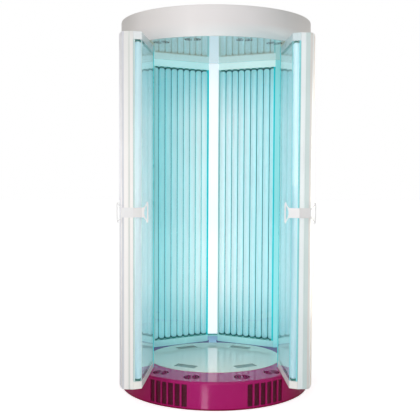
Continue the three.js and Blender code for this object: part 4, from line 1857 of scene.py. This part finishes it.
@dataclass
class DoorLeaf:
    """One curved door: hinge column, skin, edge post, rails, lamps, bent acrylic and handle.

    The door is drawn as the right-hand one, closed, then swung open and mirrored if need be.
    """

    # Which door it is, its right-hand hinge axis in plan, and its opening in radians.
    side: Side
    pivot: Vector
    opening: float
    # Heights of its lower and upper edge, and the lamp that it holds.
    bottom: float
    top: float
    lamp: LampTube
    # Hinge column with its pins, and how squarely its side with painted lamp light faces the cabin.
    stile_radius: float = 0.043
    stile_gap: float = 0.0005
    stile_round: float = 0.002
    stile_facets: int = 56
    lit_facing: float = 0.4
    pin_radius: float = 0.010
    pin_foot: float = 0.015
    pin_head: float = 0.009
    collar_radius: float = 0.018
    collar_height: float = 0.0037
    # Skin, and the line of the lamp face, turned by an angle in degrees.
    sheet: float = 0.003
    skin_facets: int = 48
    inset: float = 0.043
    closed_angle: float = 28.0
    # Edge post, with bearings in degrees, and the groove down its facet.
    meeting_gap: float = 0.005
    meeting_depth: float = 0.047
    edge_bearing: float = 3.55
    edge_chamfer: Point = (0.010, 0.004)
    edge_round: float = 0.0012
    edge_facets: int = 5
    post_bearing: float = 6.9
    post_gap: float = 0.06
    groove_width: float = 0.009
    groove_depth: float = 0.0022
    groove_share: float = 0.36
    facet_depth: float = 0.001
    groove_lip: float = 0.00073
    # End blocks, with facets along the skin and round the column.
    rail_height: float = 0.041
    rail_start: float = 0.020
    rail_round: float = 0.0015
    rail_facets: tuple[int, int] = (32, 20)
    # Lamp tray and bent acrylic, with strips of painted shade and glow at its ridge and hinge edges.
    tray_clearance: float = 0.005
    reflector: float = 0.002
    bend_round: float = 0.0035
    frosted_strip: float = 0.008
    hinge_strip: float = 0.008
    # Handle: strap and grips.
    handle_height: float = 1.100
    handle_thickness: float = 0.0035
    handle_band: float = 0.052
    handle_bend: float = 0.006
    handle_round: float = 0.0009
    handle_facets: int = 8
    grip_height: float = 0.112
    grip_tip: float = 0.009
    inside_grip: Grip = Grip(0.005, 0.030, 0.0075, 0.007, 0.076)
    outside_grip: Grip = Grip(0.0, 0.029, 0.0056, 0.002, 0.080)

    @classmethod
    def from_frame(cls, shop: Workshop, side: Side, lamp: LampTube) -> DoorLeaf:
        """Reads the door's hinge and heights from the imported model."""
        low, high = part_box(f"door_skin_{side.label}")
        return cls(side, *shop.hinge(side), low.z, high.z, lamp)

    @property
    def swing(self) -> Matrix:
        """Matrix from the closed right-hand door to this door as it stands."""
        there = Matrix.Translation((*self.pivot, 0.0))
        return self.side.mirror @ there @ Matrix.Rotation(self.opening, 4, "Z") @ there.inverted()

    @property
    def into(self) -> Vector:
        """Unit vector in plan from the closed door into the cabin."""
        turn = math.radians(self.closed_angle)
        return Vector((-math.sin(turn), math.cos(turn)))

    @property
    def inner_corner(self) -> Vector:
        """Corner between the lamp face and the meeting face."""
        return self.leaf(self.reach(self.meeting_gap, self.inset), self.inset)

    @property
    def ridge(self) -> Vector:
        """Corner between the meeting face and the edge post's facet."""
        corner = self.inner_corner
        return Vector((self.meeting_gap, corner.y - self.meeting_depth))

    @property
    def facet(self) -> Vector:
        """Way from the ridge to the door's outer corner."""
        return polar(SHELL_RADIUS, self.edge_bearing) - self.ridge

    @property
    def lamp_floor(self) -> float:
        """Height of the lower rail's top."""
        return self.bottom + self.rail_height

    @property
    def lamp_roof(self) -> float:
        """Height of the upper rail's underside."""
        return self.top - self.rail_height

    def leaf(self, along: float, inward: float) -> Vector:
        """Point of the closed door, along the lamp face from the pivot and in towards the cabin."""
        run = Vector((-self.into.y, self.into.x))
        return self.pivot + run * along + self.into * inward

    def reach(self, x: float, inward: float) -> float:
        """How far along the door a line parallel to its face meets a given x."""
        turn = math.radians(self.closed_angle)
        return (self.pivot.x - x - inward * math.sin(turn)) / math.cos(turn)

    def bearing_near_pivot(self, radius: float, distance: float) -> float:
        """Bearing at which a circle about the booth comes within a distance of the pivot.

        Args:
            radius: Radius of the circle.
            distance: The distance.

        Returns:
            The bearing in degrees.
        """
        length = self.pivot.length
        cosine = (radius**2 + length**2 - distance**2) / (2 * radius * length)
        own = math.degrees(math.atan2(self.pivot.x, -self.pivot.y))
        return own - math.degrees(math.acos(cosine))

    def build(self, shop: Workshop) -> None:
        """Makes the door's pieces.

        Args:
            shop: Where pieces are made.
        """
        own = DOOR_FINISHES[self.side]
        lower, upper = (self.bottom, self.lamp_floor), (self.lamp_roof, self.top)
        for shape, node, noun, finishes in (
            (self.stile(), "stile", "column", (PROFILE_WHITE, COLUMN_LIT)),
            (self.skin(), "skin", "panel", (own.skin,)),
            (self.edge_post(), "edge_post", "profile", own.post),
            (self.rail(*lower), "bottom_rail", "block", (BLOCK_WARM,)),
            (self.rail(*upper), "top_rail", "block", (own.rail,)),
            (self.lamps(), "lamp_tray", "lamps", (DOOR_LAMP_GLASS, LAMP_CAP, REFLECTOR, HOLDER_DARK)),
            (self.acrylic_sheet(), "acrylic", "sheet", (ACRYLIC, ACRYLIC_EDGE, own.frosted)),
            (self.handle(), "handle", "strap", (own.handle, HANDLE_SHADED)),
        ):
            name = f"door_{node}_{self.side.label}"
            shape.move(self.swing)
            shop.fit(shape, f"{name}_{noun}", finishes, [name], Body.door(self.side))

    def stile(self) -> Shape:
        """Round hinge column with its pins.

        Returns:
            The column, with the side that faces the cabin painted 1, with painted lamp light.
        """
        low, high = self.bottom - self.pin_foot, self.top + self.pin_head
        collar = self.bottom - self.collar_height
        profile = [
            (0.0, low),
            (self.pin_radius, low),
            (self.pin_radius, collar),
            (self.collar_radius, collar),
            (self.collar_radius, self.bottom),
            (self.stile_radius - self.stile_round, self.bottom),
            (self.stile_radius, self.bottom + self.stile_round),
            *fillet((self.stile_radius, self.top), self.stile_round, 3),
            (self.pin_radius, self.top),
            (self.pin_radius, high),
            (0.0, high),
        ]
        into_cabin = Matrix.Rotation(-self.opening, 2) @ -self.pivot.normalized()
        shape = Shape.lathe(profile, self.stile_facets)
        shape.paint(1, lambda face: face.normal.to_2d().dot(into_cabin) > self.lit_facing)
        return shape.move(stand(self.pivot, 0.0, 0.0))

    def skin(self) -> Shape:
        """Curved outer panel.

        Returns:
            The panel.
        """
        inner = SHELL_RADIUS - self.sheet
        first = self.post_bearing + self.post_gap
        last = self.bearing_near_pivot(inner, self.stile_radius + CLEARANCE)
        start = math.radians(first - 90.0)
        sweep = math.radians(last - first)
        radii = (inner, SHELL_RADIUS)
        return Shape.sector(radii, (self.bottom, self.top), start, sweep, self.skin_facets)

    def edge_post(self) -> Shape:
        """White profile along the free edge, with a shallow groove down its facet.

        Returns:
            The post, with its chamfer painted 1 in painted shade, and the right one's band or the left
            one's groove 2.
        """
        ridge, facet = self.ridge, self.facet
        along = facet.normalized()
        into = Vector((-along.y, along.x))
        half = self.groove_width / 2
        middle = ridge + facet * self.groove_share
        near, far = middle - along * half, middle + along * half
        centre = Vector((0.0, 0.0))
        on_facet, on_skin = self.edge_chamfer
        first = math.radians(self.edge_bearing - 90.0) + on_skin / SHELL_RADIUS
        last = math.radians(self.post_bearing - 90.0)
        chamfer = facet.length - on_facet
        outline = [
            ridge,
            near,
            near + into * self.groove_depth,
            far + into * self.groove_depth,
            far,
            ridge + along * chamfer,
            *arc(centre, SHELL_RADIUS, first, last, self.edge_facets),
            polar(ridge.length, self.post_bearing),
        ]
        shape = Shape.prism(outline, self.bottom, self.top).soften(self.edge_round, 2)
        start, end = (near - ridge).dot(along), (far - ridge).dot(along)

        def run(face: Face) -> float:
            """How far along the facet a face lies."""
            return (plan_spot(face) - ridge).dot(along)

        def depth(face: Face) -> float:
            """How deep in the door a face lies."""
            return (plan_spot(face) - ridge).dot(into)

        shape.paint(1, lambda face: run(face) > chamfer and depth(face) < on_facet)
        if self.side is Side.LEFT:
            return shape.paint(2, lambda face: start < run(face) < end and depth(face) > self.groove_lip)
        return shape.paint(2, lambda face: end < run(face) < chamfer and depth(face) < self.facet_depth)

    def rail(self, bottom: float, top: float) -> Shape:
        """Full-depth end block, from the lamp face to the skin.

        Args:
            bottom: Lower height.
            top: Upper height.

        Returns:
            The block.
        """
        edge = self.post_bearing + self.post_gap
        outer = SHELL_RADIUS - self.sheet - CLEARANCE
        stile = self.stile_radius + self.stile_gap
        start = self.bearing_near_pivot(outer, stile)
        near_skin = polar(outer, start) - self.pivot
        face_end = self.leaf(self.rail_start, math.sqrt(stile**2 - self.rail_start**2)) - self.pivot
        from_angle = math.atan2(near_skin.y, near_skin.x) % math.tau
        to_angle = math.atan2(face_end.y, face_end.x) % math.tau
        centre = Vector((0.0, 0.0))
        ridge = self.ridge
        by_skin, by_stile = self.rail_facets
        outline = [
            self.leaf(self.rail_start, self.inset),
            self.inner_corner,
            ridge + Vector((0.0, self.stile_gap)),
            polar(ridge.length - self.stile_gap, edge),
            *arc(centre, outer, math.radians(edge - 90.0), math.radians(start - 90.0), by_skin),
            *arc(self.pivot, stile, from_angle, to_angle, by_stile)[1:],
        ]
        return Shape.prism(outline, bottom, top).soften(self.rail_round, 2)

    def lamps(self) -> Shape:
        """Lamps on their reflector tray, with a dark teal holder strip at each end that carries painted
        lamp light.

        Returns:
            The lamps, with their caps painted 1, the tray 2 in painted shade and the strips 3 with
            painted lamp light.
        """
        inset = self.inset - ACRYLIC_SHEET - LAMP_GAP - self.lamp.radius
        bottom, top = self.lamp_floor + SEAT, self.lamp_roof - SEAT
        strip = (top - bottom - self.lamp.length) / 2
        first = self.stile_radius + self.tray_clearance
        clear = self.meeting_gap + ACRYLIC_SHEET + LAMP_GAP
        last = self.reach(clear, inset + HOLDER_RADIUS)
        back = inset - self.lamp.radius - LAMP_GAP / 2

        def plan(near: float, far: float) -> list[Vector]:
            """Rectangle of the tray between two distances in from the pivot line."""
            corners = ((first, near), (last, near), (last, far), (first, far))
            return [self.leaf(*corner) for corner in corners]

        made = Shape.prism(plan(back - self.reflector, back), bottom, top).paint(2)
        front = inset + HOLDER_RADIUS
        made.add(Shape.prism(plan(back + CLEARANCE, front), bottom, bottom + strip).paint(3))
        made.add(Shape.prism(plan(back + CLEARANCE, front), top - strip, top).paint(3))
        start = first + self.lamp.radius - LAMP_GAP
        end = self.reach(clear + self.lamp.radius, inset)
        for number in range(LAMP_COUNT):
            along = start + (end - start) * number / (LAMP_COUNT - 1)
            spot = self.leaf(along, inset)
            lamp = self.lamp.shape(bottom + strip, self.into)
            made.add(lamp.move(stand(spot, 0.0, 0.0)))
        return made

    def acrylic_sheet(self) -> Shape:
        """Clear sheet over the lamps, bent round the meeting edge.

        Returns:
            The sheet, with its hinge edge painted 1 with a painted glow, and its edge at the ridge and
            the bend painted 2 with painted shade and glow.
        """
        inner = self.inset - ACRYLIC_SHEET
        end = self.ridge.y + ACRYLIC_SHEET / 2
        corner = self.inner_corner
        outline = [
            self.leaf(self.rail_start, self.inset),
            corner,
            Vector((self.meeting_gap, end)),
            Vector((self.meeting_gap + ACRYLIC_SHEET, end)),
            self.leaf(self.reach(self.meeting_gap + ACRYLIC_SHEET, inner), inner),
            self.leaf(self.rail_start, inner),
        ]
        shape = Shape.prism(outline, self.lamp_floor + SEAT, self.lamp_roof - SEAT)

        def at_bend(edge: Edge) -> bool:
            """True on the upright edge at the bend's outer corner."""
            return all((vert.co.to_2d() - corner).length < SAME_SPOT for vert in edge.verts)

        shape.soften(self.bend_round, 4, at_bend)
        run = (self.inner_corner - self.leaf(0.0, self.inset)).normalized()
        hinge_cut = self.leaf(self.rail_start + self.hinge_strip, self.inset)
        ridge_cut = end + self.frosted_strip
        shape.split((*hinge_cut, 0.0), (*run, 0.0))
        shape.split((0.0, ridge_cut, 0.0), (0.0, 1.0, 0.0))

        def frosted(face: Face) -> bool:
            """True at the ridge and on the bend, where painted shade and glow go."""
            spot = plan_spot(face)
            return spot.y < ridge_cut or (spot - corner).length < ACRYLIC_SHEET

        shape.paint(1, lambda face: (plan_spot(face) - hinge_cut).dot(run) < 0)
        return shape.paint(2, frosted)

    def handle(self) -> Shape:
        """Flat strap over the meeting edge, with a bow-shaped grip at each end.

        Returns:
            The handle, with its half in painted shade painted 1.
        """
        lengths = (self.meeting_depth, self.facet.length)
        shape = Shape()
        inner = self.grip_outline(lengths[0], self.inside_grip)
        outer = self.grip_outline(lengths[1], self.outside_grip)
        rim = [*[Vector((-p.x, p.y)) for p in reversed(inner[0])], *outer[0][1:-1]]
        loops = [rim, [Vector((-p.x, p.y)) for p in inner[1]], outer[1]]
        edges = []
        for loop in loops:
            verts = [shape.bm.verts.new((p.x, p.y, 0.0)) for p in loop]
            edges += [shape.bm.edges.new(pair) for pair in zip(verts, verts[1:] + verts[:1])]
        bmesh.ops.triangle_fill(shape.bm, edges=edges, use_beauty=True)
        bends = self.handle_facets
        cuts = [self.handle_bend * (2 * number / bends - 1) for number in range(bends + 1)]
        for cut in (-lengths[0], *cuts, lengths[1]):
            shape.split((cut, 0.0, 0.0), (1.0, 0.0, 0.0))
        bmesh.ops.recalc_face_normals(shape.bm, faces=list(shape.bm.faces))
        shape.extrude(self.handle_thickness).soften(self.handle_round, 2)
        if self.side is Side.LEFT:
            shape.paint(1, lambda face: -lengths[0] < plan_spot(face).x < 0.0)
        else:
            shape.paint(1, lambda face: plan_spot(face).x > 0.0)
        for vert in shape.bm.verts:
            vert.co = self.over_ridge(vert.co)
        return shape.clean()

    def grip_outline(self, band: float, grip: Grip) -> tuple[list[Vector], list[Vector]]:
        """Half of the handle's flat pattern.

        Args:
            band: Length of the plain strap from the ridge to the door's corner.
            grip: Sizes of the bow-shaped end.

        Returns:
            The open outer line from the lower to the upper edge at the ridge, and the closed line
            of the finger hole.
        """
        half, tip, round_off = self.handle_band / 2, self.grip_height / 2, self.grip_tip
        neck = band + grip.neck
        end = neck + grip.reach
        lower = [Vector((0.0, -half)), Vector((neck, -half))]
        peak = Vector((end - round_off, -tip))
        out, down = grip.flare
        bend = Vector((neck + (peak.x - neck) * out, -half - (tip - half) * down))
        lower += curve(lower[-1], bend, peak, self.handle_facets)
        foot = Vector((end, -tip + round_off * grip.tip_share))
        lower += curve(peak, Vector((end, -tip)), foot, grip.tip_facets)
        outer = [*lower, *[Vector((p.x, -p.y)) for p in reversed(lower)]]
        hole_top = grip.hole_height / 2
        apex = Vector((neck + grip.hole_start, 0.0))
        corner = Vector((end - grip.bar, hole_top))
        bend = Vector((apex.x, hole_top * grip.hole_flare))
        upper = [corner, *curve(corner, bend, apex, self.handle_facets)]
        hole = [*upper, *[Vector((p.x, -p.y)) for p in reversed(upper[:-1])]]
        return outer, hole

    def over_ridge(self, flat: Vector) -> Vector:
        """Bends a point of the flat handle over the door's ridge.

        Args:
            flat: Distance along the strap, height and thickness.

        Returns:
            The point on the closed door.
        """
        inwards, outwards = Vector((0.0, 1.0)), self.facet.normalized()
        run, bend = flat.x, self.handle_bend
        if run <= -bend:
            spot, way = inwards * -run, -inwards
        elif run >= bend:
            spot, way = outwards * run, outwards
        else:
            share = (run + bend) / (2 * bend)
            spot = inwards * bend * (1 - share) ** 2 + outwards * bend * share**2
            way = (-inwards * (1 - share) + outwards * share).normalized()
        normal = Vector((way.y, -way.x))
        place = self.ridge + spot + normal * (SEAT + flat.z)
        return Vector((place.x, place.y, self.handle_height + flat.y))


@dataclass
class PlainParts:
    """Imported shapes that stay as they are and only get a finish."""

    steel: tuple[str, ...] = (
        "base_pan",
        "base_fan_frame",
        "exhaust_fan_frame",
        "ballast_tray_left",
        "ballast_tray_right",
    )
    enamel: tuple[str, ...] = ("side_panel_left", "side_panel_right")
    plastic: tuple[str, ...] = ("base_fan_rotor", "exhaust_fan_rotor")

    def build(self, shop: Workshop) -> None:
        """Gives each node its finish.

        Args:
            shop: Where pieces are made.
        """
        for nodes, finish in (
            (self.steel, PLAIN_STEEL),
            (self.enamel, SHELL_ENAMEL),
            (self.plastic, FAN_BLACK),
        ):
            for node in nodes:
                shop.coat(node, finish)


@dataclass(frozen=True)
class SoftBox:
    """One studio lamp."""

    # Height, colour and direction of a strip that lies on the floor.
    strip_height: ClassVar[float] = 0.003
    strip_tint: ClassVar[Color] = (0.88, 0.94, 1.0)
    strip_way: ClassVar[Color] = (0.218, 0.976, 0.0)

    name: str
    # Where it hangs, the point that it faces, its width and height, and its watts.
    place: Color
    aim: Color
    size: Point
    power: float
    # Colour, degrees that its light fans out to, and direction that its height follows.
    tint: Color = (1.0, 1.0, 1.0)
    spread: float = 180.0
    along: Color = (0.0, 0.0, 1.0)
    # Whether glossy surfaces mirror it, and whether it lights matt ones.
    mirrored: bool = True
    shines: bool = True

    @classmethod
    def strip(cls, name: str, spot: Point, size: Point, power: float) -> SoftBox:
        """A narrow light on the floor, which shows only in what mirrors it."""
        ends = (*spot, cls.strip_height), (*spot, 1.0)
        return cls(name, *ends, size, power, cls.strip_tint, along=cls.strip_way, shines=False)

    def hang(self) -> None:
        """Adds the light to the scene."""
        data = bpy.data.lights.new(self.name, "AREA")
        data.shape = "RECTANGLE"
        data.size, data.size_y = self.size
        data.energy = self.power
        data.color = self.tint
        data.spread = math.radians(self.spread)
        light = bpy.data.objects.new(self.name, data)
        ahead = (Vector(self.aim) - Vector(self.place)).normalized()
        right = ahead.cross(Vector(self.along)).normalized()
        turn = Matrix((right, right.cross(ahead), -ahead)).transposed().to_4x4()
        light.matrix_world = Matrix.Translation(self.place) @ turn
        light.visible_camera = False
        light.visible_glossy = self.mirrored
        light.visible_diffuse = self.shines
        bpy.context.scene.collection.objects.link(light)


@dataclass
class Studio:
    """Camera, lights, pale floor and white surroundings."""

    # Camera, with angles in degrees.
    frame_pixels: float = 420.0
    focal_pixels: float = 737.3
    sensor: float = 36.0
    clip_end: float = 100.0
    viewpoint: Color = (-0.1390, -4.5646, 1.3096)
    yaw: float = 1.3465
    pitch: float = 2.8945
    roll: float = 0.275
    # Floor, with the glow that keeps it white to the camera, and light from all round.
    floor_size: float = 60.0
    floor_tone: Color = (0.86, 0.86, 0.86)
    floor_roughness: float = 0.9
    floor_glow: float = 0.66
    ambient: float = 0.38
    # Lights.
    lamps: tuple[SoftBox, ...] = (
        SoftBox("front", (-0.2, -6.2, 1.8), (0.0, 0.0, 1.1), (2.4, 2.4), 72.0),
        SoftBox("front_left", (-2.6, -4.6, 2.6), (0.0, 0.0, 1.2), (2.0, 3.0), 58.0, mirrored=False),
        SoftBox(
            "left_side", (-3.0, -0.8, 1.12), (-0.5, -0.5, 1.12), (0.6, 1.2), 1.6, (0.98, 0.98, 1.0), 32.0
        ),
        SoftBox(
            "right_side", (3.0, -0.8, 1.12), (0.5, -0.5, 1.12), (0.6, 1.2), 5.0, (1.0, 0.965, 0.92), 32.0
        ),
        SoftBox.strip("floor_strip_near", (-0.0895, -0.663), (0.045, 0.14), 0.165),
        SoftBox.strip("floor_strip_middle", (-0.120, -0.800), (0.063, 0.14), 0.230),
        SoftBox.strip("floor_strip_far", (-0.153, -0.946), (0.080, 0.16), 0.334),
        SoftBox(
            "cabin_fill", (0.0, -0.12, 1.0), (0.0, -0.12, 0.0), (0.4, 0.4), 1.3, (1.0, 0.8, 0.76),
            along=(0.0, 1.0, 0.0), mirrored=False,
        ),
    )

    def build(self) -> None:
        """Sets up the scene around the booth."""
        self.camera()
        self.floor()
        self.world()
        for lamp in self.lamps:
            lamp.hang()
        bpy.context.scene.view_settings.view_transform = "Standard"

    def camera(self) -> None:
        """Puts the camera where the photograph was taken from."""
        yaw, pitch, roll = (math.radians(angle) for angle in (self.yaw, self.pitch, self.roll))
        ahead = Vector(
            (math.sin(yaw) * math.cos(pitch), math.cos(yaw) * math.cos(pitch), -math.sin(pitch))
        )
        level = Vector((math.cos(yaw), -math.sin(yaw), 0.0))
        above = level.cross(ahead)
        right = level * math.cos(roll) + above * math.sin(roll)
        up = above * math.cos(roll) - level * math.sin(roll)
        data = bpy.data.cameras.new("camera")
        data.sensor_width = self.sensor
        data.lens = self.sensor * self.focal_pixels / self.frame_pixels
        data.clip_end = self.clip_end
        camera = bpy.data.objects.new("camera", data)
        turn = Matrix((right, up, -ahead)).transposed().to_4x4()
        camera.matrix_world = Matrix.Translation(self.viewpoint) @ turn
        bpy.context.scene.collection.objects.link(camera)
        bpy.context.scene.camera = camera

    def floor(self) -> None:
        """Lays a pale floor that keeps the booth's soft shadow."""
        shape = Shape()
        bmesh.ops.create_grid(shape.bm, x_segments=1, y_segments=1, size=self.floor_size / 2)
        ground = shape.scratch("studio_floor")
        material = bpy.data.materials.new("studio_floor")
        graph = NodeGraph(material)
        graph.put("Base Color", self.floor_tone)
        graph.put("Roughness", self.floor_roughness)
        seen = graph.node("ShaderNodeLightPath").outputs["Is Camera Ray"]
        graph.put("Emission Color", (1.0, 1.0, 1.0))
        graph.put("Emission Strength", graph.spread(seen, (0.0, 1.0), (0.0, self.floor_glow)))
        ground.data.materials.append(material)

    def world(self) -> None:
        """White surroundings to look at, and a softer level to light with."""
        world = bpy.data.worlds.new("studio")
        bpy.context.scene.world = world
        world.use_nodes = True
        tree = world.node_tree
        tree.nodes.clear()
        output = tree.nodes.new("ShaderNodeOutputWorld")
        background = tree.nodes.new("ShaderNodeBackground")
        background.inputs["Color"].default_value = (1.0, 1.0, 1.0, 1.0)
        paths = tree.nodes.new("ShaderNodeLightPath")
        seen = paths.outputs["Is Camera Ray"]
        for name in ("Is Glossy Ray", "Is Transmission Ray"):
            most = tree.nodes.new("ShaderNodeMath")
            most.operation = "MAXIMUM"
            tree.links.new(seen, most.inputs[0])
            tree.links.new(paths.outputs[name], most.inputs[1])
            seen = most.outputs["Value"]
        level = tree.nodes.new("ShaderNodeMapRange")
        level.inputs["To Min"].default_value = self.ambient
        level.inputs["To Max"].default_value = 1.0
        tree.links.new(seen, level.inputs["Value"])
        tree.links.new(level.outputs["Result"], background.inputs["Strength"])
        tree.links.new(background.outputs["Background"], output.inputs["Surface"])


def main() -> None:
    """Builds every sub-assembly in order."""
    logging.basicConfig(level=logging.INFO, format="%(name)s %(message)s")
    for collection in (bpy.data.objects, bpy.data.lights, bpy.data.cameras):
        for item in list(collection):
            collection.remove(item)
    shop = Workshop(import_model())
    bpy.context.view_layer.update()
    lamp = LampTube()
    outlet = AirOutlet()
    pivots = [Vector((side.value * shop.hinge(side)[0].x, shop.hinge(side)[0].y)) for side in Side]
    Base.from_frame().build(shop, outlet, pivots)
    Canopy.from_frame().build(shop, outlet, pivots)
    RearWall.from_frame(lamp).build(shop)
    for side in Side:
        DoorLeaf.from_frame(shop, side, lamp).build(shop)
    PlainParts().build(shop)
    Studio().build()


if __name__ == "__main__":
    main()
